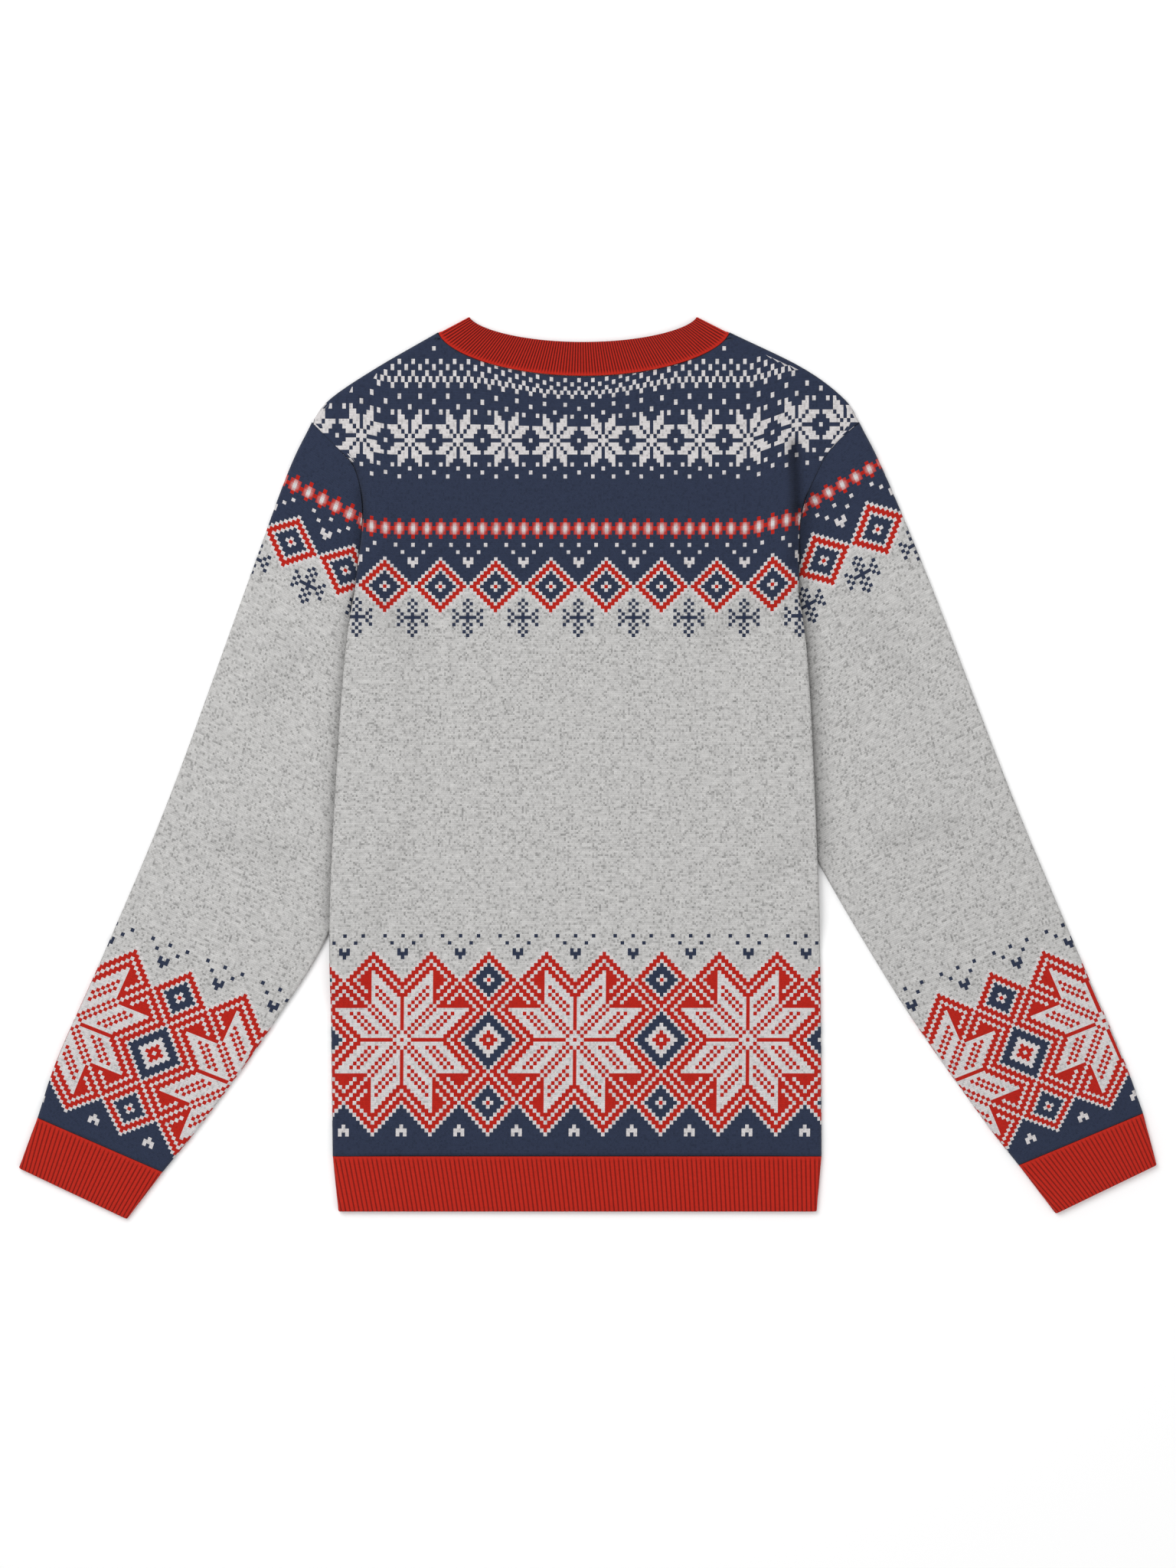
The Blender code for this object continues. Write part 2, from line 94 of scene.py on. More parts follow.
# Roughly the way out over each fold, on the right side: out, up
FOLD_WAYS = {
    "side": (1.0, 0.0),
    "shoulder": (0.5, 0.87),
    "outer": (1.0, 0.3),
    "inner": (-1.0, -0.2),
    "neck": (1.0, 0.5),
}

# Points nearer than this are one point, and edges shorter than this are dropped
WELD_DISTANCE = 2e-6
TINY_EDGE = 1e-7
# Slack where a ray crosses a line: nearly alongside, past the line's ends, behind the start
ALONGSIDE = 1e-12
PAST_ENDS = 1e-6
BEHIND = 1e-9
PLACES_AT_ONCE = 5000

SIGN = {"left": -1.0, "right": 1.0}
COLUMN = {"left": 1, "right": 2}

SIDE_SEAMS = (
    # above_hem, left, right
    (0.045, 0.1981, 0.1984),
    (0.150, 0.1993, 0.1980),
    (0.250, 0.2003, 0.1962),
    (0.386, 0.1931, 0.1907),
    (0.461, 0.1869, 0.1857),
    (0.503, 0.1801, 0.1795),
)
ARMHOLE_SEAMS = (
    # above_hem, left, right
    (0.503, 0.1801, 0.1795),
    (0.564, 0.1739, 0.1820),
    (0.602, 0.1801, 0.1962),
    (0.622, 0.1975, 0.2093),
    (0.640, 0.2150, 0.2290),
)
SHOULDER_SEAMS = (
    # above_hem, left, right
    (0.640, 0.2150, 0.2290),
    (0.659, 0.2000, 0.2167),
    (0.684, 0.1628, 0.1832),
    (0.713, 0.1125, 0.1237),
)
BAND_PEAKS = (
    # above_hem, left, right
    (0.726, 0.0871, 0.0970),
)
SLEEVE_OUTER = {
    "left": (
        # out, above_hem
        (0.2150, 0.6400),
        (0.2353, 0.5971),
        (0.2713, 0.4979),
        (0.3302, 0.3367),
        (0.3822, 0.2127),
        (0.4207, 0.1259),
        (0.4374, 0.0763),
    ),
    "right": (
        # out, above_hem
        (0.2290, 0.6400),
        (0.2502, 0.5971),
        (0.2911, 0.4979),
        (0.3531, 0.3367),
        (0.4052, 0.2127),
        (0.4424, 0.1259),
        (0.4591, 0.0800),
    ),
}
SLEEVE_INNER = {
    "left": (
        # out, above_hem
        (0.1801, 0.5030),
        (0.1812, 0.4850),
        (0.1660, 0.4300),
        (0.1620, 0.3400),
        (0.2000, 0.2282),
        (0.2471, 0.1507),
        (0.3004, 0.0763),
        (0.3358, 0.0322),
    ),
    "right": (
        # out, above_hem
        (0.1795, 0.5030),
        (0.1785, 0.4850),
        (0.1640, 0.4300),
        (0.1660, 0.3650),
        (0.1838, 0.3057),
        (0.2595, 0.1755),
        (0.3283, 0.0763),
        (0.3581, 0.0378),
    ),
}
CUFF_ENDS = {
    # side: outer out, outer above_hem, inner out, inner above_hem
    "left": (0.4526, 0.0353, 0.3649, -0.0062),
    "right": (0.4703, 0.0378, 0.3884, -0.0019),
}
HEM_EDGE = {"left": 0.1935, "right": 0.1945}
ARMPIT = SIDE_SEAMS[-1][0]
# The sleeves come out from under the body at least this far below the armpit
GAP_BELOW_ARMPIT = 0.04

# The frame's own place for the middle of the hem's edge
MIDDLE_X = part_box("back_panel")[1].x - SHOULDER_SEAMS[0][2]
HEM_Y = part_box("hem_band")[0].y

# The body's chart: where its rows lie up the middle, how wide its columns are, and how they lean
YOKE_ROW = 123
BODY_ROWS = (
    # row, above_hem
    (-29.5, 0.0450),
    (0, 0.1393),
    (24, 0.2121),
    (28, 0.2235),
    (109, 0.4671),
    (114, 0.4816),
    (123, 0.5066),
    (133, 0.5345),
    (135, 0.5403),
    (139, 0.5538),
    (161, 0.6250),
    (172, 0.6604),
    (176, 0.6739),
    (200, 0.7555),
)
BODY_ROW_EDGES = np.arange(-29.5, 190.0)
BODY_COLUMN_EDGES = np.arange(-82.5, 83.0)
BODY_PITCH = ((0.2121, 0.4671), (0.00292, 0.00280))
BODY_LEAN = (-0.0017, 0.0082, 0.1395, 0.56)
NECK_RISE = 0.0155
NECK_RISE_ROWS = (37, 16, 1.7)
NECK_RISE_ACROSS = (0.009, 0.093)
# How far a row is pulled up where it nears the armhole
PULLS = (
    # row over the yoke's, left, right
    (-14, 0.0, 0.0),
    (0, 0.001, 0.003),
    (16, 0.003, 0.0079),
    (38, 0.004, 0.013),
    (49, 0.0055, 0.010),
    (60, 0.006, 0.010),
)
PULL_ACROSS = {"left": (0.150, 0.178), "right": (0.135, 0.182)}

# The sleeves' chart: rows start on the outer fold and slant in and down
SLEEVE_YOKE_ROW = 138
SLEEVE_ROW_EDGES = np.append(np.arange(-29.5, 168.0), 168)
SLEEVE_BAND_SHIFT = 24
UPPER_COLUMNS = np.arange(-28.5, 49.0)
LOWER_COLUMNS = np.arange(-100.5, -13.0)
SLEEVE_ROWS = (
    # row, then the outer fold's height above_hem: left, right
    (-29.5, 0.0763, 0.0800),
    (-16, 0.1101, 0.1120),
    (0, 0.1544, 0.1557),
    (28, 0.2335, 0.2332),
    (124, 0.5161, 0.5274),
    (138, 0.5532, 0.5646),
    (154, 0.5924, 0.6069),
    (168, 0.6400, 0.6400),
)
SLEEVE_TILTS = (
    # row, degrees left, right
    (-29.5, 23.5, 22.7),
    (0, 21.6, 21.8),
    (28, 22.0, 22.0),
    (138, 27.6, 30.1),
    (154, 27.3, 29.7),
    (168, 28.0, 30.0),
)
SLEEVE_AXES = (
    # row, distance in from the outer fold to the chart's middle: left, right
    (-29.5, 0.0680, 0.0700),
    (0, 0.0708, 0.0718),
    (28, 0.0712, 0.0718),
    (124, 0.0475, 0.0490),
    (168, 0.0465, 0.0480),
)
SLEEVE_PITCHES = (
    # row, a column's width: left, right
    (-29.5, 0.00300, 0.00287),
    (28, 0.00300, 0.00287),
    (124, 0.00312, 0.00316),
    (168, 0.00312, 0.00316),
)

GREY, NAVY, RED, WHITE = range(4)
YARNS = (
    # linear red, green, blue, and how heathered the yarn is
    (0.622, 0.615, 0.604, 1.0),
    (0.030, 0.041, 0.079, 0.45),
    (0.510, 0.017, 0.009, 0.30),
    (0.730, 0.700, 0.700, 0.60),
)
RIB_RED = (0.540, 0.022, 0.011, 0.25)
# Painted shade: the ribs' valleys are coloured this darker red instead of the ribs' own red
SHADED_VALLEY_RED = (0.080, 0.004, 0.003, 0.25)

# Charts: how many columns each figure repeats over, and the rows where figures start or are centred
STAR_REPEAT = 48
DIAMOND_REPEAT = 16
SMALL_STAR_REPEAT = 14
BEAD_REPEAT = 4
BAND_TOP_ROW = 60
BAND_SPRIG_ROW = 22
YOKE_SPRIG_ROW = 6
SLEEVE_YOKE_TOP = 18
SNOWFLAKE_ROW = -9
SMALL_STAR_ROW = 38
SMALL_STAR_SHIFT = 7
BEAD_ROW = 16
BEAD_TIP = 0.25
# How white a cell's inner corners are, by its distance over and beside a bead's middle cell
BEAD_WHITE = ((1.0, 0.45), (0.9, 0.3))
# The rolled shoulder edge is plain from this row over the yoke's, over this width
PLAIN_EDGE_ROW = 44
PLAIN_EDGE_WIDTH = 0.0045
# White lines in the big stars' corners, by the steps out from the star's middle line and up
FALLING_LINES = (
    # steps out plus steps up, first and last step out
    (29, 8, 21),
    (32, 16, 24),
    (35, 19, 24),
)
RISING_LINES = (
    # steps out less steps up, first and last step out
    (0, 9, 16),
    (3, 13, 16),
    (-3, 10, 13),
)
# Rings of the yoke's diamonds, from the outside in
DIAMOND_RINGS = (
    # reach, yarn
    (8, WHITE),
    (7, RED),
    (5, WHITE),
    (4, NAVY),
    (1, WHITE),
    (0, RED),
)
NECK_DOTS = (
    # row over the yoke's, steps from every fourth column
    (53, 0),
    (52, 2),
    (51, 0),
    (50, 1),
    (49, 2),
)
LONE_DOTS = (56, 42)
# Quarter charts: the first mark of the first line is the motif's middle
SMALL_STAR = ("WWNNNNN", "WNWWWNN", "NWNWWWN", "NWWNWWW", "NWWWNNN", "NNWWNNN", "NNNWNNN")
STAR_DOTS = ((7, 0), (5, 6), (0, 7), (7, 8), (3, 9))
SNOWFLAKE = ("XXX.X", "X..X.", ".X..X", "X....", ".X...", "X....")

# Creases pressed into the cloth, placed one by one
CREASES = (
    # piece, out, above_hem, to out, to above_hem, depth, reach
    ("back", 0.176, 0.622, 0.179, 0.570, 0.0040, 0.0048),
    ("back", 0.178, 0.570, 0.176, 0.525, 0.0020, 0.0048),
    ("back", -0.183, 0.606, -0.1715, 0.560, 0.0020, 0.0045),
    ("back", 0.172, 0.500, 0.110, 0.470, 0.0005, 0.012),
    ("back", -0.172, 0.505, -0.125, 0.455, 0.0004, 0.012),
    ("back", 0.185, 0.300, 0.150, 0.270, 0.0004, 0.010),
    ("front", 0.176, 0.612, 0.171, 0.545, 0.0010, 0.006),
    ("front", -0.178, 0.600, -0.170, 0.535, 0.0008, 0.006),
    ("front", 0.160, 0.480, 0.105, 0.440, 0.0005, 0.012),
    ("front", -0.150, 0.330, -0.110, 0.270, 0.0004, 0.012),
    ("upper", 0.232, 0.480, 0.262, 0.440, 0.0005, 0.012),
    ("upper", 0.255, 0.300, 0.305, 0.315, 0.0006, 0.010),
    ("upper", -0.225, 0.455, -0.250, 0.420, 0.0005, 0.012),
    ("upper", -0.240, 0.290, -0.285, 0.300, 0.0005, 0.012),
    ("lower", 0.240, 0.420, 0.285, 0.400, 0.0005, 0.012),
    ("lower", -0.235, 0.330, -0.290, 0.335, 0.0005, 0.012),
)
# Slow waves all over: their height, and pairs of waves that multiply
SWAY = 0.00012
SWAY_WAVES = (
    # share, then each wave's radians for a metre out, for a metre up, and its start
    (1.0, (31, 0, 1.3), (0, 23, 0.4)),
    (0.6, (67, 41, 0.0), (-29, 53, 2.0)),
)
# Painted shade: how much darker the yarn is painted for each metre of a crease's depth, and beside the
# body's folded edges, where the body's edge shades a sleeve
CREASE_SHADE = 140.0
MOST_SHADE = 0.6
EDGE_SHADE = {"left": (0.30, 0.006), "right": (0.42, 0.009)}
EDGE_SHADE_FADE = 0.030

# Ribs: rows where they fade in from the seam, then shares of the rest, then the rounded end in degrees
RIB_STEPS = 8
RIB_DEPTH = 0.0009
RIB_FADE_ROWS = (0.0, 0.001, 0.002, 0.003, 0.004)
RIB_FADE = RIB_FADE_ROWS[-1]
RIB_LATER_ROWS = (0.25, 0.5, 0.75, 1.0)
END_ANGLES = (40.0, 75.0)
HEM_VALLEY = (0.62, 1.0)
NECK_VALLEY = (0.30, 0.90)
HEM_PITCH = 0.0037
HEM_LEAN = 0.10
NECK_PITCH = 0.0022
SCOOP_POINTS = 2000
RIB_STITCH = 0.0012

# Heights of a piece's outer face, inner face and rim in its second map: low, high
OUTER_MAP = (0.0, 0.70)
INNER_MAP = (0.74, 0.96)
RIM_MAP = (0.975, 0.985)

# Yarn and stitch
STITCH_SLANT = 1.2
STITCH_WAVE = (0.325, 0.675)
# Painted shade: the yarn is coloured darker in the stitch's low parts, by the stitch's height times the
# first and plus the second
STITCH_SHADE = (0.28, 0.80)
STREAK_STRETCH = (0.16, 0.5, 0.0)
STREAK_DETAIL = 3.0
STREAK_DEPTH = 0.46
FLECK_SHARPNESS = 4.0
BUMP_STRENGTH = 0.8
YARN_SURFACE = {
    "Roughness": 0.95,
    "Metallic": 0.0,
    "Specular IOR Level": 0.12,
    "Sheen Weight": 0.06,
    "Sheen Roughness": 0.5,
}

# Floor, lamps and camera
FLOOR_REACH = 6.0
FLOOR_LEVEL = -0.0002
FLOOR_COLOUR = (0.93, 0.93, 0.93)
FLOOR_ROUGHNESS = 0.9
LAMPS = (
    # name, place, width, watts
    ("key", (-0.9, 0.9, 2.2), 1.6, 40.0),
    ("fill", (1.0, -0.8, 2.0), 2.0, 12.0),
)
LAMP_AIM = 0.35
WORLD_STRENGTH = 0.56
CAMERA_PLACE = (0.0090, 0.3466)
CAMERA_HEIGHT = 3.0
SENSOR = 36.0
# The camera sees this much up the frame, at this level
SEEN_HEIGHT = 1.26976
SEEN_LEVEL = 0.008


def smooth_between(low, high, value):
    """Rises softly from 0 at low to 1 at high."""
    share = np.clip((value - low) / (high - low), 0.0, 1.0)
    return share * share * (3.0 - 2.0 * share)


def curve_through(points):
    """A smooth line of points through the given ones."""
    points = np.array(points, float)
    padded = np.vstack([2 * points[0] - points[1], points, 2 * points[-1] - points[-2]])
    share = np.arange(CURVE_STEPS)[:, None] / CURVE_STEPS
    spans = []
    for before, start, end, after in zip(padded, padded[1:], padded[2:], padded[3:]):
        bend = (2 * before - 5 * start + 4 * end - after) * share**2
        twist = (3 * start - before - 3 * end + after) * share**3
        spans.append((2 * start + (end - before) * share + bend + twist) / 2)
    return np.vstack([*spans, points[-1:]])


def side_line(table, side):
    return curve_through([(SIGN[side] * row[COLUMN[side]], row[0]) for row in table])


def fold_line(table, side):
    return curve_through([(SIGN[side] * out, height) for out, height in table[side]])


def by_row(table, rows, side):
    """A table's values for a side, at the given rows."""
    return np.interp(rows, [row[0] for row in table], [row[COLUMN[side]] for row in table])


def out_at(line, height):
    """How far out a line lies at a height."""
    if line[0, 1] > line[-1, 1]:
        line = line[::-1]
    return np.interp(height, line[:, 1], np.abs(line[:, 0]))


SIDE_LINES = {side: side_line(SIDE_SEAMS, side) for side in SIGN}
ARMHOLE_LINES = {side: side_line(ARMHOLE_SEAMS, side) for side in SIGN}
SHOULDER_LINES = {side: side_line(SHOULDER_SEAMS, side) for side in SIGN}
OUTER_LINES = {side: fold_line(SLEEVE_OUTER, side) for side in SIGN}
INNER_LINES = {side: fold_line(SLEEVE_INNER, side) for side in SIGN}
BODY_EDGES = {
    side: np.vstack([SIDE_LINES[side], ARMHOLE_LINES[side][1:], SHOULDER_LINES[side][1:]]) for side in SIGN
}
JOINTS = {side: SHOULDER_LINES[side][-1] for side in SIGN}
PEAKS = {side: np.array([SIGN[side] * BAND_PEAKS[0][COLUMN[side]], BAND_PEAKS[0][0]]) for side in SIGN}


def gap_height(side):
    """The height where the sleeve's inner edge comes out from under the body."""
    line = INNER_LINES[side]
    past_side = np.abs(line[:, 0]) > out_at(SIDE_LINES[side], line[:, 1])
    below_armpit = line[:, 1] < ARMPIT - GAP_BELOW_ARMPIT
    return line[(past_side & below_armpit).argmax(), 1]


GAP_HEIGHTS = {side: gap_height(side) for side in SIGN}


def nearest_on(line, plan):
    """The distance from each place to a line, and the direction square to the line there."""
    start = line[:-1]
    run = np.diff(line, axis=0)
    places = plan.reshape(-1, 2)
    distance = np.empty(len(places))
    square = np.empty((len(places), 2))
    for first in range(0, len(places), PLACES_AT_ONCE):
        some = slice(first, first + PLACES_AT_ONCE)
        part = places[some, None, :] - start
        share = np.clip((part * run).sum(-1) / (run * run).sum(-1), 0.0, 1.0)
        length = np.linalg.norm(part - run * share[..., None], axis=-1)
        nearest = length.argmin(axis=1)
        distance[some] = length[np.arange(len(nearest)), nearest]
        square[some] = np.stack([run[nearest, 1], -run[nearest, 0]], axis=-1)
    distance[distance < WELD_DISTANCE] = 0.0
    square /= np.linalg.norm(square, axis=-1, keepdims=True)
    return distance.reshape(plan.shape[:-1]), square.reshape(plan.shape)


def hinted(line, kind, side):
    """A fold's line, with a hint of the way out over it."""
    out, up = FOLD_WAYS[kind]
    return line, (SIGN[side] * out, up)


def nearest_fold(folds, plan):
    """The distance to the nearest of several hinted folds, and the way out over it."""
    best = None
    for line, hint in folds:
        distance, square = nearest_on(line, plan)
        square = square * np.where(square @ np.array(hint) < 0, -1.0, 1.0)[..., None]
        if best is None:
            best = (distance, square)
            continue
        closer = distance < best[0]
        best = (np.where(closer, distance, best[0]), np.where(closer[..., None], square, best[1]))
    return best


def arc_over(distance, radius):
    """The length of cloth from a fold to a plan distance from it."""
    angle = np.arccos(np.clip(1.0 - distance / radius, 0.0, 1.0))
    return radius * angle + np.maximum(0.0, distance - radius)


def for_both(function, plan):
    """A side's own function of its distance out and height, on whichever side each place is."""
    out, height = plan[..., 0], plan[..., 1]
    return np.where(out < 0, function("left", -out, height), function("right", out, height))


# Heights over the floor


def tuck_lift(plan):
    """How far the body is held up where it lies on a sleeve's tucked part."""

    def lift(side, out, height):
        under = np.minimum(out_at(SIDE_LINES[side], height), out_at(INNER_LINES[side], height))
        strip = np.where(height > ARMPIT, out_at(ARMHOLE_LINES[side], height), under)
        across = smooth_between(strip - TUCK_MARGIN - TUCK_RAMP, strip - TUCK_MARGIN, out)
        above = 1.0 - smooth_between(ARMPIT + TUCK_ABOVE[0], ARMPIT + TUCK_ABOVE[1], height)
        gap = GAP_HEIGHTS[side]
        return TUCK_LIFT * across * above * smooth_between(gap - TUCK_BELOW[0], gap - TUCK_BELOW[1], height)

    return for_both(lift, plan)


def armhole_roll(plan):
    """How far the upper layer rises beside an armhole seam."""

    def roll(side, out, height):
        place = np.stack([SIGN[side] * out, height], axis=-1)
        share = nearest_on(ARMHOLE_LINES[side], place)[0] / ROLL_DISTANCE
        along = smooth_between(*ROLL_TOP, height) * smooth_between(*ROLL_BOTTOM, height)
        return ROLL_HEIGHT[side] * share * np.exp(1.0 - share) * along

    return for_both(roll, plan)


def pressed(piece, plan):
    """How deep the creases of a piece are pressed in."""
    depth = np.zeros(plan.shape[:-1])
    for owner, out, height, to_out, to_height, deep, reach in CREASES:
        if owner == piece:
            distance = nearest_on(np.array([(out, height), (to_out, to_height)]), plan)[0]
            depth += deep * np.exp(-((distance / reach) ** 2))
    return depth


def sway(plan):
    """Slight, slow waves of cloth that was laid by hand."""
    out, height = plan[..., 0], plan[..., 1]
    total = 0.0
    for share, *pair in SWAY_WAVES:
        first, second = (np.sin(across * out + up * height + start) for across, up, start in pair)
        total = total + share * (first * second)
    return SWAY * total


def layer(plan, fold, loft, base, face, wall, least_rise=0.0, extra=0.0):
    """One layer of a flattened tube, its edge rolled round: outer and inner points."""
    distance, outward = fold
    radius = loft / 2
    cosine = np.clip(1.0 - distance / radius, 0.0, 1.0)
    sine = np.sqrt(1.0 - cosine**2)
    level = base + radius + face * np.maximum(radius * sine, least_rise) + extra * sine
    outer = np.stack([plan[..., 0] + MIDDLE_X, plan[..., 1] + HEM_Y, level], axis=-1)
    normal = np.concatenate([outward * cosine[..., None], (face * sine)[..., None]], axis=-1)
    return outer, outer - normal * wall


# Charts


def away(value, period):
    """Distance from the nearest multiple of a period."""
    return np.abs((value + period / 2) % period - period / 2)


def paint(yarn, where, colour):
    yarn[where] = colour


def tulip(across, up):
    """A small tulip; up is counted from its foot."""
    return (up == 2) & (across == 1) | (up == 1) & (across <= 1) | (up == 0) & (across == 0)


def sprig(across, up):
    """A tulip and the dots over it; up is counted from the tulip's foot."""
    return tulip(across, up) | (up == 4) & (across == 3) | (up == 6) & ((across == 0) | (across == 5))


def hem_figures(column, row):
    """The wide band: eight-petalled stars, diamonds and a zigzag border. Row 0 is its middle."""
    star, across = away(column, STAR_REPEAT), away(column, DIAMOND_REPEAT)
    up = np.abs(row)
    inside = 23 - (8 - across) - up
    falling, rising = star + up, star - up
    low, high = np.minimum(star, up), np.maximum(star, up)
    yarn = np.where(row > 0, GREY, NAVY)
    paint(yarn, inside == -1, WHITE)
    paint(yarn, inside >= 0, RED)
    petals = ((star <= 8) & (rising >= -10)) | ((up <= 8) & (rising <= 10))
    paint(yarn, petals & (inside >= 0), WHITE)
    paint(yarn, (np.abs(rising) == 1) & (low >= 1) & (low <= 8), RED)
    paint(yarn, np.isin(np.abs(rising), (5, 7)) & (low >= 2) & (low <= 7), RED)
    paint(yarn, (low == 0) & (high >= 3) & (high <= 11), RED)
    paint(yarn, high == 0, RED)
    paint(yarn, inside == 2, WHITE)
    for total, first, last in FALLING_LINES:
        paint(yarn, (falling == total) & (star >= first) & (star <= last), WHITE)
    for difference, first, last in RISING_LINES:
        paint(yarn, (rising == difference) & (star >= first) & (star <= last), WHITE)
    paint(yarn, (inside == 2) & np.isin(np.abs(star - 16), (1, 2)), RED)
    big = (24 - star) + up
    paint(yarn, (big == 8) | (big == 11) & (up <= 8), WHITE)
    paint(yarn, big <= 7, NAVY)
    paint(yarn, (big == 3) | (big == 4), WHITE)
    paint(yarn, (big == 1) | (big == 2), RED)
    paint(yarn, big == 0, WHITE)
    small = (24 - star) + np.abs(up - 16)
    paint(yarn, small == 5, WHITE)
    paint(yarn, small <= 4, NAVY)
    paint(yarn, small == 1, WHITE)
    paint(yarn, small == 0, RED)
    paint(yarn, sprig(across, row - BAND_SPRIG_ROW), NAVY)
    paint(yarn, tulip(across, -BAND_SPRIG_ROW - row), WHITE)
    return yarn


def quarter(marks, across, up, mark):
    """Where a motif's quarter chart has a mark, mirrored both ways."""
    found = np.zeros(across.shape, bool)
    for line, text in enumerate(marks):
        for place, letter in enumerate(text):
            if letter == mark:
                found |= (up == line) & (across == place)
    return found


def yoke_figures(column, row):
    """The yoke: snowflakes, diamonds, tulips, beads, stars and dots. Row 0 is the diamonds' middle."""
    across = away(column, DIAMOND_REPEAT)
    ring = (8 - across) + np.abs(row)
    yarn = np.where(row > 0, NAVY, GREY)
    for reach, colour in DIAMOND_RINGS:
        paint(yarn, ring <= reach, colour)
    paint(yarn, sprig(across, row - YOKE_SPRIG_ROW), WHITE)
    bead, over = away(column, BEAD_REPEAT), np.abs(row - BEAD_ROW)
    paint(yarn, over == 0, RED)
    paint(yarn, (over == 0) & (bead <= 1) | (over == 1) & (bead == 0), WHITE)
    paint(yarn, (over == 1) & (bead == 1) | (over == 2) & (bead == 0), RED)
    paint(yarn, quarter(SNOWFLAKE, across, np.abs(row - SNOWFLAKE_ROW), "X"), NAVY)
    star, tall = away(column - SMALL_STAR_SHIFT, SMALL_STAR_REPEAT), np.abs(row - SMALL_STAR_ROW)
    paint(yarn, quarter(SMALL_STAR, star, tall, "W"), WHITE)
    for place, line in STAR_DOTS:
        paint(yarn, (star == place) & (tall == line), WHITE)
    for line, place in NECK_DOTS:
        paint(yarn, (row == line) & (bead == place), WHITE)
    line, place = LONE_DOTS
    paint(yarn, (row == line) & (np.abs(column) == place), WHITE)
    return yarn


def body_figures(column, row):
    return np.where(row <= BAND_TOP_ROW, hem_figures(column, row), yoke_figures(column, row - YOKE_ROW))


def sleeve_figures(column, row):
    over = row - SLEEVE_YOKE_ROW
    yoke = np.where(over > SLEEVE_YOKE_TOP, NAVY, yoke_figures(column, over))
    return np.where(row <= BAND_TOP_ROW, hem_figures(column + SLEEVE_BAND_SHIFT, row), yoke)


def face_corners(grid):
    """A grid's values at the four corners of each face, going round it."""
    return np.stack([grid[:-1, :-1], grid[:-1, 1:], grid[1:, 1:], grid[1:, :-1]], axis=-1)


def cells(counted, rows):
    """The chart's column and row of each face."""
    column = face_corners(counted).mean(axis=-1)
    row = np.broadcast_to(((rows[:-1] + rows[1:]) / 2)[:, None], column.shape)
    return np.rint(column).astype(int), np.rint(row).astype(int)


def corner_yarns(figures, counted, rows, yoke_row):
    """Each face's yarn at its four corners: one yarn, but for the beads, whose white cores are rounded."""
    column, row = cells(counted, rows)
    yarns = np.array(YARNS)
    colours = np.repeat(yarns[figures(column, row)][:, :, None], 4, axis=2)
    over = row - yoke_row - BEAD_ROW
    near = away(column, BEAD_REPEAT).astype(int)
    bead = (np.abs(over) <= 1) & (near <= 1)
    strength = np.array(BEAD_WHITE)[np.abs(over[bead]), near[bead]]
    for corner, (right, up) in enumerate(((-0.5, -0.5), (0.5, -0.5), (0.5, 0.5), (-0.5, 0.5))):
        tip = np.where(np.abs(over + up) <= 0.5, 1.0, BEAD_TIP)
        core = (away(column + right, BEAD_REPEAT) <= 0.5) * tip
        share = np.where((over[bead] == 0) & (near[bead] == 0), 1.0, core[bead] * strength)[:, None]
        colours[bead, corner] = yarns[RED] * (1.0 - share) + yarns[WHITE] * share
    return colours


def shaded(colours, darkness):
    """Yarns darkened with painted shade in creases and beside folds, where the cloth shades itself."""
    left = 1.0 - np.minimum(face_corners(darkness), MOST_SHADE)
    colours = colours.copy()
    colours[..., :3] *= left[..., None]
    return colours


def beside_body(side, plan):
    """How much painted shade darkens a sleeve beside the body's folded edge, which lies on it and shades
    it.
    """
    edge = BODY_EDGES[side]
    folded = edge[(edge[:, 1] >= GAP_HEIGHTS[side] - EDGE_SHADE_FADE) & (edge[:, 1] <= FOLD_TOP)]
    strength, reach = EDGE_SHADE[side]
    low = GAP_HEIGHTS[side]
    window = smooth_between(low - EDGE_SHADE_FADE, low + EDGE_SHADE_FADE, plan[..., 1])
    return strength * np.exp(-((nearest_on(folded, plan)[0] / reach) ** 2)) * window


# Meshes


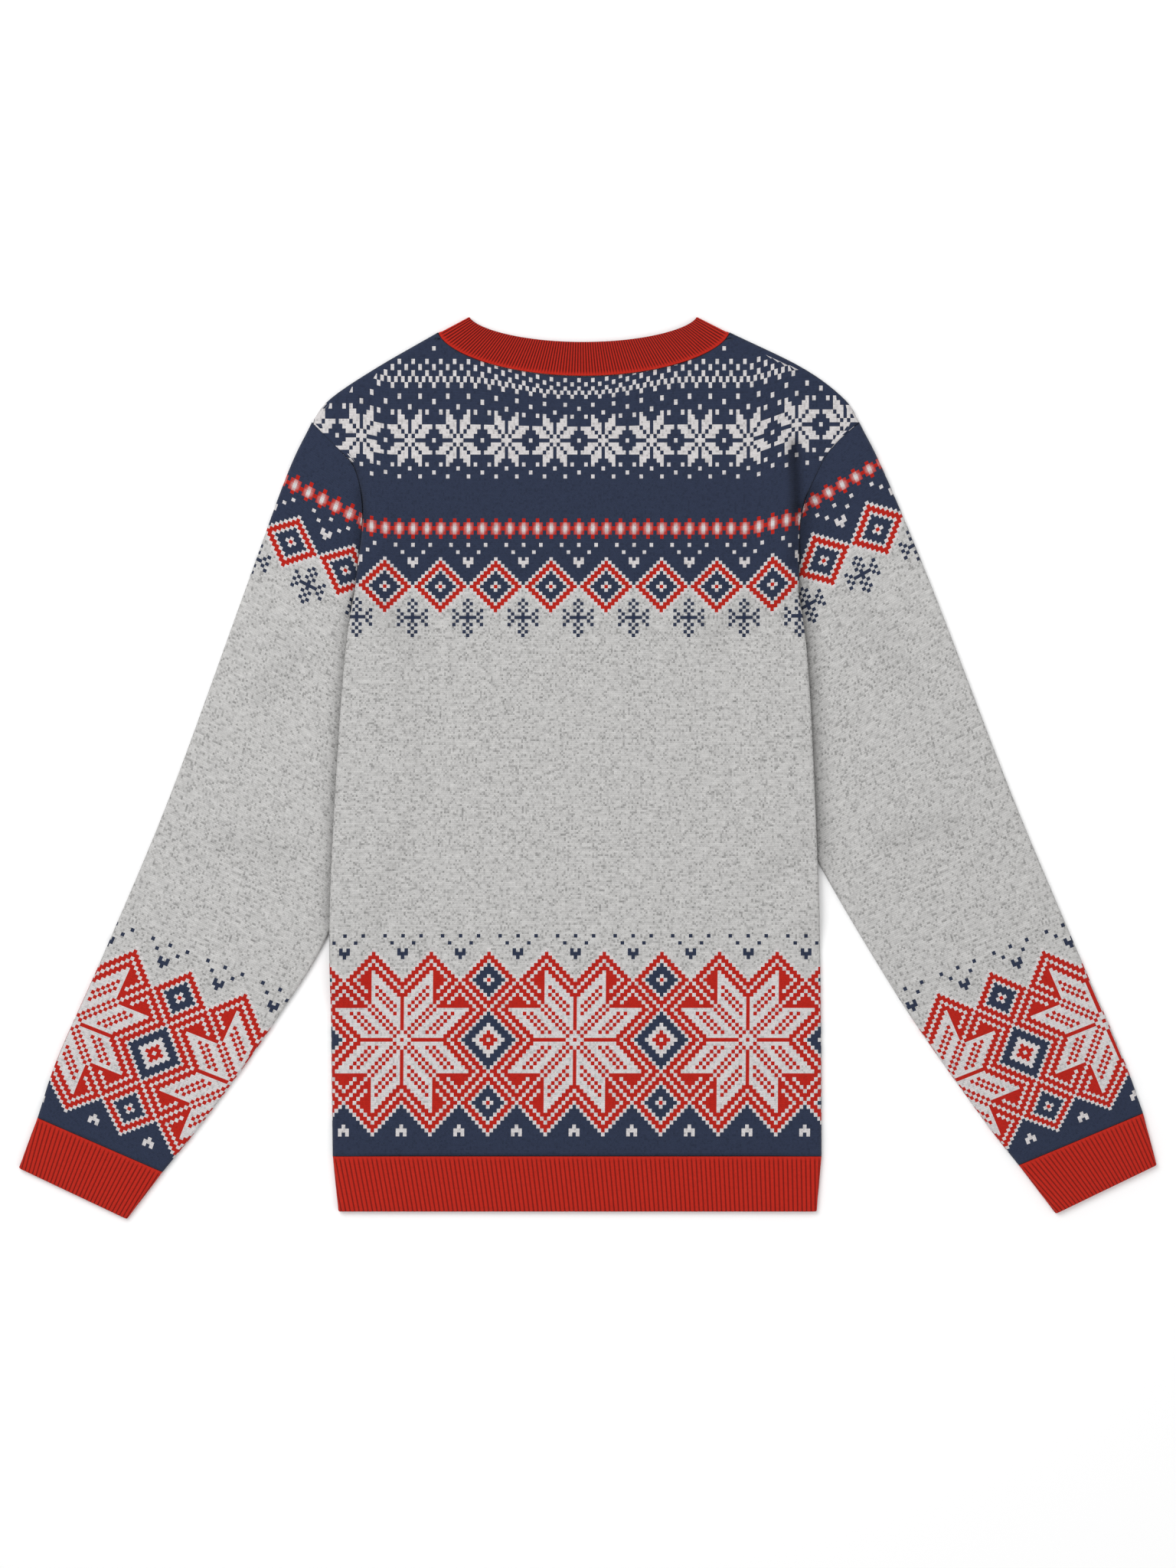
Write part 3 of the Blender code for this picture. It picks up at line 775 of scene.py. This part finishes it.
def build_cloth(name, outer, inner, colours, knit, material, around=False):
    """A closed wall from grids of outer and inner points; around means that each row's two ends meet."""
    rows, columns = outer.shape[:2]
    count = rows * columns
    index = np.arange(count).reshape(rows, columns)
    sheet = face_corners(index).reshape(-1, 4)
    ends_meet = np.linalg.norm(outer[:, 0] - outer[:, -1], axis=-1) < WELD_DISTANCE
    open_span = ~(ends_meet[:-1] & ends_meet[1:]) if around else np.ones(rows - 1, bool)
    borders = (
        (index[0, :-1], index[0, 1:], colours[0]),
        (index[-1, :-1], index[-1, 1:], colours[-1]),
        (index[:-1, 0][open_span], index[1:, 0][open_span], colours[open_span, 0]),
        (index[:-1, -1][open_span], index[1:, -1][open_span], colours[open_span, -1]),
    )
    start = np.concatenate([border[0] for border in borders])
    end = np.concatenate([border[1] for border in borders])
    rim = np.stack([start, end, end + count, start + count], axis=-1)
    faces = np.concatenate([sheet, sheet[:, ::-1] + count, rim])
    sheet_colours = colours.reshape(-1, 4, 4)
    rim_colours = [border[2] for border in borders]
    corner_colours = np.concatenate([sheet_colours, sheet_colours[:, ::-1], *rim_colours])
    points = np.concatenate([outer.reshape(-1, 3), inner.reshape(-1, 3)])

    mesh = bpy.data.meshes.new(name)
    mesh.from_pydata(points.tolist(), [], faces.tolist())
    corner = faces.ravel()
    knit_layer = mesh.uv_layers.new(name="Knit")
    knit_layer.data.foreach_set("uv", knit.reshape(-1, 2)[corner % count].astype(np.float32).ravel())
    line, place = np.divmod(corner % count, columns)
    bake = np.stack([place / (columns - 1), line / (rows - 1)], axis=-1)
    half = sheet.size
    for first, (low, high) in ((0, OUTER_MAP), (half, INNER_MAP)):
        bake[first : first + half, 1] = low + bake[first : first + half, 1] * (high - low)
    along = np.arange(len(rim))[:, None] + np.array([0, 1, 1, 0])
    bake[2 * half :, 0] = (along / len(rim)).ravel()
    bake[2 * half :, 1] = np.tile(np.repeat(RIM_MAP, 2), len(rim))
    bake_layer = mesh.uv_layers.new(name="OFBake")
    bake_layer.data.foreach_set("uv", bake.astype(np.float32).ravel())
    yarn = mesh.color_attributes.new(name="Yarn", type="FLOAT_COLOR", domain="CORNER")
    yarn.data.foreach_set("color", corner_colours.astype(np.float32).ravel())

    build = bmesh.new()
    build.from_mesh(mesh)
    bmesh.ops.remove_doubles(build, verts=build.verts, dist=WELD_DISTANCE)
    bmesh.ops.dissolve_degenerate(build, edges=build.edges, dist=TINY_EDGE)
    bmesh.ops.recalc_face_normals(build, faces=build.faces)
    if build.calc_volume(signed=True) < 0:
        bmesh.ops.reverse_faces(build, faces=build.faces)
    build.to_mesh(mesh)
    build.free()
    mesh.shade_smooth()
    mesh.materials.append(material)
    piece = bpy.data.objects.new(name, mesh)
    bpy.context.scene.collection.objects.link(piece)
    return piece


# Body panels


def middle_heights(rows):
    """How high the body's rows lie up its middle."""
    return np.interp(rows, [row[0] for row in BODY_ROWS], [row[1] for row in BODY_ROWS])


def row_heights(rows, out):
    """How high the body's rows lie at places across it."""
    over = rows - YOKE_ROW
    height = middle_heights(rows)
    first, span, power = NECK_RISE_ROWS
    rise = np.clip((over - first) / span, 0.0, 1.0) ** power
    height = height + NECK_RISE * rise * smooth_between(*NECK_RISE_ACROSS, np.abs(out))
    for side, sign in SIGN.items():
        height = height + by_row(PULLS, over, side) * smooth_between(*PULL_ACROSS[side], sign * out)
    return height


def neckline(out, depth):
    """The height of the neckline's seam."""
    left, right = JOINTS["left"][0], JOINTS["right"][0]
    share = 2 * (out - left) / (right - left) - 1.0
    return JOINTS["left"][1] - depth * np.maximum(0.0, 1.0 - share**2) ** SCOOP_ROUNDNESS


def body_plan(depth):
    """The body's grid in plan, with each point's counted and true column."""
    rows = BODY_ROW_EDGES[:, None]
    base = middle_heights(rows)
    pitch = np.interp(base, *BODY_PITCH)
    start, lean, from_height, to_height = BODY_LEAN
    middle = start + lean * (np.minimum(base, to_height) - from_height)
    steps = np.array(FOLD_STEPS)
    developed = arc_over(FOLD_MARGIN, FOLD_RADIUS) - arc_over(steps, FOLD_RADIUS)
    ends, strips, counts = {}, {}, {}
    for side, sign in SIGN.items():
        edge = BODY_EDGES[side]
        out = out_at(edge, base)
        for _step in range(ROW_END_STEPS):
            out = (out + out_at(edge, row_heights(rows, sign * out))) / 2
        height = row_heights(rows, sign * out)
        slants = np.sqrt(1.0 + np.gradient(np.abs(edge[:, 0]), edge[:, 1]) ** 2)
        slant = np.minimum(np.interp(height, edge[:, 1], slants), MOST_STRETCH)
        ends[side] = out - FOLD_MARGIN * slant
        strips[side] = sign * (out - steps * slant)
        counts[side] = (sign * ends[side] - middle) / pitch + sign * developed / pitch
    clipped = np.clip(middle + pitch * BODY_COLUMN_EDGES, -ends["left"], ends["right"])
    x = np.hstack([strips["left"], clipped, strips["right"][:, ::-1]])
    nominal = np.broadcast_to(BODY_COLUMN_EDGES, clipped.shape)
    counted = np.hstack([counts["left"], nominal, counts["right"][:, ::-1]])
    true = np.hstack([counts["left"], (clipped - middle) / pitch, counts["right"][:, ::-1]])
    y = np.minimum(row_heights(rows, x), neckline(x, depth))
    return np.stack([x, y], axis=-1), counted, true


def body_panel(which, material):
    face = 1.0 if which == "back" else -1.0
    plan, counted, true = body_plan(NECK_SCOOP[which])
    folds = []
    for side, edge in BODY_EDGES.items():
        folds.append(hinted(edge[edge[:, 1] <= FOLD_TOP], "side", side))
        folds.append(hinted(SHOULDER_LINES[side], "shoulder", side))
    fold = nearest_fold(folds, plan)
    loft = BODY_LOFT + BODY_EDGE_PUFF * (1.0 - smooth_between(*PUFF_BAND, fold[0]))
    extra = -face * pressed(which, plan)
    if which == "back":
        extra = extra + armhole_roll(plan) + sway(plan)
    outer, inner = layer(plan, fold, loft, tuck_lift(plan), face, KNIT_WALL, SEAM_GAP / 2, extra)
    colours = corner_yarns(body_figures, counted, BODY_ROW_EDGES, YOKE_ROW)
    at_edge = fold[0][:-1, :-1] < PLAIN_EDGE_WIDTH
    neck_rows = BODY_ROW_EDGES[:-1] > YOKE_ROW + PLAIN_EDGE_ROW
    colours[at_edge & neck_rows[:, None]] = YARNS[NAVY]
    # Painted shade: the yarn is coloured darker along the creases
    colours = shaded(colours, pressed(which, plan) * CREASE_SHADE)
    knit = np.stack([true * 2, np.broadcast_to(BODY_ROW_EDGES[:, None] * 2, true.shape)], axis=-1)
    return build_cloth(f"{which}_panel_knit", outer, inner, colours, knit, material)


# Sleeves


def section_width(start, direction, line):
    """How far a ray from the outer fold runs to the sleeve's other edge."""
    run = np.diff(line, axis=0)
    gap = line[:-1] - start
    cross = direction[0] * run[:, 1] - direction[1] * run[:, 0]
    cross = np.where(np.abs(cross) < ALONGSIDE, ALONGSIDE, cross)
    reach = (gap[:, 0] * run[:, 1] - gap[:, 1] * run[:, 0]) / cross
    share = (gap[:, 0] * direction[1] - gap[:, 1] * direction[0]) / cross
    hits = reach[(share > -PAST_ENDS) & (share < 1.0 + PAST_ENDS) & (reach > -BEHIND)]
    return max(hits.min(), 0.0) if len(hits) else 0.0


def sleeve_plan(side):
    """A sleeve's ring grid in plan: from the inner fold under it, round the outer fold, back on top."""
    sign = SIGN[side]
    armhole = ARMHOLE_LINES[side][::-1] + (sign * ARMHOLE_GAP, 0.0)
    inner = INNER_LINES[side]
    beyond = inner[-1] + (inner[-1] - inner[-2])
    edge = np.vstack([armhole[:-1], inner, beyond])
    steps = np.array(FOLD_STEPS)
    plans, counted, true = [], [], []
    for row in SLEEVE_ROW_EDGES:
        height = by_row(SLEEVE_ROWS, row, side)
        start = np.array([sign * out_at(OUTER_LINES[side], height), height])
        tilt = math.radians(by_row(SLEEVE_TILTS, row, side))
        direction = np.array([-sign * math.cos(tilt), -math.sin(tilt)])
        width = section_width(start, direction, edge)
        margin = min(FOLD_MARGIN, width / 2)
        axis, pitch = by_row(SLEEVE_AXES, row, side), by_row(SLEEVE_PITCHES, row, side)
        near = steps * margin / FOLD_MARGIN
        developed = arc_over(margin, FOLD_RADIUS) - arc_over(near, FOLD_RADIUS)
        extra = arc_over(margin, FOLD_RADIUS) - margin
        under = np.clip(-(axis + pitch * LOWER_COLUMNS) - 2 * extra, margin, width - margin)
        over = np.clip(axis + pitch * UPPER_COLUMNS, margin, width - margin)
        reach = [width - near, under, near[::-1], near[1:], over, width - near[::-1]]
        lower_inner = (-(width - margin) - 2 * extra - developed - axis) / pitch
        lower_outer = (-margin - 2 * extra + developed - axis) / pitch
        upper_outer = (margin - developed - axis) / pitch
        upper_inner = (width - margin + developed - axis) / pitch
        folded = [lower_outer[::-1], upper_outer[1:]]
        lower, upper = (-under - 2 * extra - axis) / pitch, (over - axis) / pitch
        plans.append(start + np.concatenate(reach)[:, None] * direction)
        nominal = [lower_inner, LOWER_COLUMNS, *folded, UPPER_COLUMNS, upper_inner[::-1]]
        counted.append(np.concatenate(nominal))
        true.append(np.concatenate([lower_inner, lower, *folded, upper, upper_inner[::-1]]))
    return np.array(plans), np.array(counted), np.array(true)


def sleeve(side, material):
    sign = SIGN[side]
    plan, counted, true = sleeve_plan(side)
    folds = (hinted(OUTER_LINES[side], "outer", side), hinted(INNER_LINES[side], "inner", side))
    fold = nearest_fold(folds, plan)
    height = plan[..., 1]
    under = smooth_between(*SQUEEZE_ACROSS, sign * plan[..., 0] - out_at(BODY_EDGES[side], height))
    gap = GAP_HEIGHTS[side]
    below = smooth_between(gap - SQUEEZE_BELOW_GAP[0], gap - SQUEEZE_BELOW_GAP[1], height)
    above = 1.0 - smooth_between(ARMPIT + TUCK_ABOVE[0], ARMPIT + TUCK_ABOVE[1], height)
    loft = SLEEVE_LOFT - (SLEEVE_LOFT - TUCKED_LOFT) * under * below * above
    split = len(FOLD_STEPS) * 2 + len(LOWER_COLUMNS)
    upper = np.broadcast_to(np.arange(plan.shape[1]) >= split - 1, height.shape)
    face = np.where(upper, 1.0, -1.0)
    roll = armhole_roll(plan) * smooth_between(*ROLL_ON_SLEEVE, height)
    roll = (roll + sway(plan)) * (1.0 - under * below)
    extra = np.where(upper, roll - pressed("upper", plan), pressed("lower", plan))
    outer, inner = layer(plan, fold, loft, 0.0, face, KNIT_WALL, 0.0, extra)
    colours = corner_yarns(sleeve_figures, counted, SLEEVE_ROW_EDGES, SLEEVE_YOKE_ROW)
    # Painted shade: the yarn is coloured darker along the creases, and on top beside the body's folded
    # edge, as its shadow
    darkness = pressed("upper", plan) * CREASE_SHADE + beside_body(side, plan) * (face > 0)
    colours = shaded(colours, darkness)
    knit = np.stack([true * 2, np.broadcast_to(SLEEVE_ROW_EDGES[:, None] * 2, true.shape)], axis=-1)
    return build_cloth(f"sleeve_{side}_knit", outer, inner, colours, knit, material, around=True)


# Ribs


def rib_valley(phase, band):
    """1 in the valley between two ribs and 0 on their flat tops."""
    return smooth_between(*band, np.abs(2 * (phase % 1.0) - 1.0))


def rib_rows(length):
    """A rib's rows: distance from the seam, and how far the wall is rounded at the free edge."""
    end = length - RIB_WALL / 2
    rows = [(distance, 0.0) for distance in RIB_FADE_ROWS]
    rows += [(RIB_FADE + (end - RIB_FADE) * share, 0.0) for share in RIB_LATER_ROWS]
    return rows + [(end, math.radians(angle)) for angle in END_ANGLES]


def rib_piece(name, outer, normal, advance, valleys, rows, spots, material):
    """Ribs cut into a ring's outer points; the wall closes in a rounded free edge."""
    distance = np.array([row[0] for row in rows])[:, None]
    angle = np.array([row[1] for row in rows])[:, None]
    valley = valleys * smooth_between(0.0, RIB_FADE, distance)
    forward = advance * (RIB_WALL / 2 * np.sin(angle))[..., None]
    closing = RIB_WALL / 2 * (1.0 - np.cos(angle))
    top = outer - normal * (RIB_DEPTH * valley + closing)[..., None] + forward
    bottom = outer - normal * (RIB_WALL - closing)[..., None] + forward
    # Painted shade: the valleys between ribs are coloured darker red
    shade = face_corners(valley).mean(axis=-1)[..., None]
    colours = np.array(RIB_RED) * (1.0 - shade) + np.array(SHADED_VALLEY_RED) * shade
    colours = np.repeat(colours[:, :, None], 4, axis=2)
    return build_cloth(name, top, bottom, colours, spots / RIB_STITCH, material, around=True)


def flat_rib(name, seam, edge, lean, material):
    """A flattened rib ring between two straight lines; each is a pair of plan points, left end first."""
    seam, edge = np.array(seam, float), np.array(edge, float)
    length = np.linalg.norm(edge.mean(axis=0) - seam.mean(axis=0))
    rows = rib_rows(length)
    radius = RIB_LOFT / 2
    bend = math.pi * radius / 2
    widest = np.linalg.norm(seam[1] - seam[0])
    ribs = round(2 * (widest + (math.pi - 2) * radius) / HEM_PITCH)
    ring = np.arange(ribs * RIB_STEPS + 1) / (ribs * RIB_STEPS)
    outer, normal, spots = [], [], []
    for distance, _angle in rows:
        ends = seam + (edge - seam) * distance / length
        width = np.linalg.norm(ends[1] - ends[0])
        across = (ends[1] - ends[0]) / width
        half = width + (math.pi - 2) * radius
        travelled = (ring * 2 * half + lean * distance) % (2 * half)
        lower = travelled > half
        run = np.where(lower, 2 * half - travelled, travelled)
        angle = np.minimum(np.minimum(run, half - run) / radius, math.pi / 2)
        side = np.where(run < half / 2, -1.0, 1.0)
        centre = np.clip(run - bend + radius, radius, width - radius)
        way = np.stack([across[0] * side * np.cos(angle), across[1] * side * np.cos(angle)], axis=-1)
        rise = np.where(lower, -1.0, 1.0) * np.sin(angle)
        normal.append(np.concatenate([way, rise[:, None]], axis=-1))
        middle = ends[0] + centre[:, None] * across + (MIDDLE_X, HEM_Y)
        level = np.full((len(ring), 1), radius)
        outer.append(np.concatenate([middle, level], axis=-1) + normal[-1] * radius)
        spots.append(np.stack([ring * 2 * half, np.full(len(ring), distance)], axis=-1))
    advance = np.append((edge.mean(axis=0) - seam.mean(axis=0)) / length, 0.0)
    valleys = rib_valley(ring * ribs, HEM_VALLEY)
    outer, normal, spots = np.array(outer), np.array(normal), np.array(spots)
    return rib_piece(name, outer, normal, advance, valleys, rows, spots, material)


def hem_band(material):
    seam = [(SIGN[side] * SIDE_SEAMS[0][COLUMN[side]], HEM_DEPTH - SEAM_GAP) for side in SIGN]
    edge = [(SIGN[side] * HEM_EDGE[side], 0.0) for side in SIGN]
    return flat_rib("hem_band_rib", seam, edge, HEM_LEAN, material)


def cuff(side, material):
    outer_out, outer_height, inner_out, inner_height = CUFF_ENDS[side]
    seam = [OUTER_LINES[side][-1], INNER_LINES[side][-1]]
    ends = ((outer_out, outer_height), (inner_out, inner_height))
    edge = [np.array([SIGN[side] * out, height]) for out, height in ends]
    length = np.linalg.norm(edge[0] - seam[0])
    seam = [start + (end - start) * SEAM_GAP / length for start, end in zip(seam, edge)]
    if side == "right":
        seam, edge = seam[::-1], edge[::-1]
    return flat_rib(f"cuff_{side}_rib", seam, edge, HEM_LEAN, material)


def scoop(ends, depth, share):
    """Points on a rounded neckline between two ends; share runs from -1 to 1."""
    weight = ((share + 1.0) / 2)[:, None]
    level = ends["left"] * (1.0 - weight) + ends["right"] * weight
    drop = depth * np.maximum(0.0, 1.0 - share**2) ** SCOOP_ROUNDNESS
    return level - np.stack([np.zeros_like(drop), drop], axis=-1)


def neckband(material):
    """The band round the neck: its back half lies on the upper layer, its front half below."""
    ends = {side: JOINTS[side] - (SIGN[side] * BAND_GAP, 0.0) for side in SIGN}
    folds = [hinted(np.array([ends[side], PEAKS[side]]), "neck", side) for side in SIGN]
    fine = -np.cos(np.linspace(0.0, math.pi, SCOOP_POINTS))
    halves = []
    travelled = 0.0
    for first, (which, turn) in enumerate((("back", 1), ("front", -1))):
        seam = scoop(ends, NECK_SCOOP[which] - BAND_GAP, fine)
        edge = scoop(PEAKS, BAND_SCOOP[which], fine)
        steps = np.linalg.norm(np.diff((seam + edge) / 2, axis=0), axis=1)
        lengths = np.concatenate([[0], np.cumsum(steps)])
        ribs = round(lengths[-1] / NECK_PITCH)
        even = np.linspace(0.0, lengths[-1], ribs * RIB_STEPS + 1)
        shares = np.interp(even, lengths, fine)[::turn]
        half = (
            scoop(ends, NECK_SCOOP[which] - BAND_GAP, shares),
            scoop(PEAKS, BAND_SCOOP[which], shares),
            np.full(len(shares), float(turn)),
            np.arange(len(shares)) / RIB_STEPS,
            travelled + even,
        )
        halves.append([values[first:] for values in half])
        travelled += lengths[-1]
    seam, edge, face, phase, run = (np.concatenate(pair) for pair in zip(*halves))
    away_from_seam = edge - seam
    length = np.linalg.norm(away_from_seam, axis=-1, keepdims=True)
    shortest = length.min()
    rows = rib_rows(shortest)
    outer, normal, spots = [], [], []
    radius = RIB_LOFT / 2
    for distance, _angle in rows:
        plan = seam + away_from_seam * distance / shortest
        near, outward = nearest_fold(folds, plan)
        cosine = np.clip(1.0 - near / radius, 0.0, 1.0)
        sine = np.sqrt(1.0 - cosine**2)
        normal.append(np.concatenate([outward * cosine[:, None], (face * sine)[:, None]], axis=-1))
        level = radius + face * radius * sine
        outer.append(np.concatenate([plan + (MIDDLE_X, HEM_Y), level[:, None]], axis=-1))
        spots.append(np.stack([run, np.full(len(run), distance)], axis=-1))
    advance = np.concatenate([away_from_seam / length, np.zeros((len(seam), 1))], axis=-1)
    valleys = rib_valley(phase, NECK_VALLEY)
    outer, normal, spots = np.array(outer), np.array(normal), np.array(spots)
    return rib_piece("neckband_rib", outer, normal, advance, valleys, rows, spots, material)


# Materials


class Shader:
    """A material's node tree, with short calls for its sums."""

    def __init__(self, name):
        self.material = bpy.data.materials.new(name)
        self.material.use_nodes = True
        self.nodes = self.material.node_tree.nodes
        self.links = self.material.node_tree.links
        self.surface = self.nodes["Principled BSDF"]

    def node(self, kind, **settings):
        made = self.nodes.new(kind)
        for key, value in settings.items():
            setattr(made, key, value)
        return made

    def sum(self, operation, *values):
        made = self.node("ShaderNodeMath", operation=operation)
        for socket, value in zip(made.inputs, values):
            if isinstance(value, (int, float)):
                socket.default_value = value
            else:
                self.links.new(value, socket)
        return made.outputs[0]


def yarn_cloth(name, relief, fleck_depth):
    """Stocking stitch in the yarn that each face names."""
    shader = Shader(name)
    uv = shader.node("ShaderNodeUVMap", uv_map="Knit").outputs["UV"]
    split = shader.node("ShaderNodeSeparateXYZ")
    shader.links.new(uv, split.inputs[0])
    column, row = split.outputs[0], split.outputs[1]
    across = shader.sum("ABSOLUTE", shader.sum("SUBTRACT", shader.sum("FRACT", column), 0.5))
    leg = shader.sum("SINE", shader.sum("MULTIPLY", across, 2 * math.pi))
    slanted = shader.sum("SUBTRACT", row, shader.sum("MULTIPLY", across, STITCH_SLANT))
    wave = shader.sum("COSINE", shader.sum("MULTIPLY", slanted, 2 * math.pi))
    round_leg = shader.sum("MULTIPLY_ADD", wave, *STITCH_WAVE)
    height = shader.sum("MULTIPLY", leg, round_leg)

    floor = shader.node("ShaderNodeVectorMath", operation="FLOOR")
    shader.links.new(uv, floor.inputs[0])
    white = shader.node("ShaderNodeTexWhiteNoise", noise_dimensions="2D")
    shader.links.new(floor.outputs[0], white.inputs["Vector"])
    stretch = shader.node("ShaderNodeVectorMath", operation="MULTIPLY")
    stretch.inputs[1].default_value = STREAK_STRETCH
    shader.links.new(uv, stretch.inputs[0])
    streak = shader.node("ShaderNodeTexNoise", noise_dimensions="2D")
    streak.inputs["Scale"].default_value = 1.0
    streak.inputs["Detail"].default_value = STREAK_DETAIL
    shader.links.new(stretch.outputs[0], streak.inputs["Vector"])

    yarn = shader.node("ShaderNodeVertexColor", layer_name="Yarn")
    fleck = shader.sum("POWER", white.outputs["Value"], FLECK_SHARPNESS)
    streaked = shader.sum("SUBTRACT", 0.5, streak.outputs[0])
    streaks = shader.sum("MULTIPLY", streaked, STREAK_DEPTH)
    heather = shader.sum("MULTIPLY_ADD", fleck, fleck_depth, streaks)
    fade = shader.sum("SUBTRACT", 1.0, shader.sum("MULTIPLY", heather, yarn.outputs["Alpha"]))
    # Painted shade from the stitch's relief, times the heather's random tone
    stitch_shade_and_heather = shader.sum("MULTIPLY", shader.sum("MULTIPLY_ADD", height, *STITCH_SHADE), fade)
    colour = shader.node("ShaderNodeVectorMath", operation="SCALE")
    shader.links.new(yarn.outputs["Color"], colour.inputs[0])
    shader.links.new(stitch_shade_and_heather, colour.inputs["Scale"])
    shader.links.new(colour.outputs[0], shader.surface.inputs["Base Color"])
    bump = shader.node("ShaderNodeBump")
    bump.inputs["Distance"].default_value = relief
    bump.inputs["Strength"].default_value = BUMP_STRENGTH
    shader.links.new(height, bump.inputs["Height"])
    shader.links.new(bump.outputs[0], shader.surface.inputs["Normal"])
    for socket, value in YARN_SURFACE.items():
        shader.surface.inputs[socket].default_value = value
    return shader.material


def plain(name, colour):
    shader = Shader(name)
    shader.surface.inputs["Base Color"].default_value = (*colour, 1.0)
    shader.surface.inputs["Roughness"].default_value = FLOOR_ROUGHNESS
    return shader.material


# The sweater


def dress(piece, node):
    """Attaches a piece to the root body and hides the solid that it replaces."""
    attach(piece, "root")
    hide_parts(node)


def make_floor():
    mesh = bpy.data.meshes.new("floor")
    turns = ((-1, -1), (1, -1), (1, 1), (-1, 1))
    corners = [(x * FLOOR_REACH, y * FLOOR_REACH, FLOOR_LEVEL) for x, y in turns]
    mesh.from_pydata(corners, [], [(0, 1, 2, 3)])
    mesh.materials.append(plain("pale_floor", FLOOR_COLOUR))
    floor = bpy.data.objects.new("floor", mesh)
    bpy.context.scene.collection.objects.link(floor)


def make_lamp(name, location, size, power):
    data = bpy.data.lights.new(name, "AREA")
    data.size = size
    data.energy = power
    lamp = bpy.data.objects.new(name, data)
    lamp.location = location
    target = np.array([MIDDLE_X, HEM_Y + LAMP_AIM, 0.0])
    bpy.context.scene.collection.objects.link(lamp)
    direction = target - np.array(location)
    lamp.rotation_euler = (
        math.atan2(math.hypot(direction[0], direction[1]), -direction[2]),
        0.0,
        math.atan2(direction[1], direction[0]) - math.pi / 2,
    )


def make_view():
    """Camera straight above, lamps and world."""
    scene = bpy.context.scene
    data = bpy.data.cameras.new("camera")
    camera = bpy.data.objects.new("camera", data)
    camera.location = (MIDDLE_X + CAMERA_PLACE[0], HEM_Y + CAMERA_PLACE[1], CAMERA_HEIGHT)
    data.sensor_width = SENSOR
    data.lens = SENSOR * (CAMERA_HEIGHT - SEEN_LEVEL) / SEEN_HEIGHT
    scene.collection.objects.link(camera)
    scene.camera = camera
    for name, place, width, watts in LAMPS:
        make_lamp(name, place, width, watts)
    scene.world = bpy.data.worlds.new("studio")
    scene.world.use_nodes = True
    sky = scene.world.node_tree.nodes["Background"]
    sky.inputs["Color"].default_value = (1.0, 1.0, 1.0, 1.0)
    sky.inputs["Strength"].default_value = WORLD_STRENGTH
    scene.view_settings.view_transform = "Standard"


knit_cloth = yarn_cloth("jacquard_knit", relief=0.0005, fleck_depth=0.45)
rib_cloth = yarn_cloth("red_rib", relief=0.0003, fleck_depth=0.30)
make_floor()
dress(body_panel("front", knit_cloth), "front_panel")
dress(body_panel("back", knit_cloth), "back_panel")
for side in SIGN:
    dress(sleeve(side, knit_cloth), f"sleeve_{side}")
    dress(cuff(side, rib_cloth), f"cuff_{side}")
dress(hem_band(rib_cloth), "hem_band")
dress(neckband(rib_cloth), "neckband")
make_view()
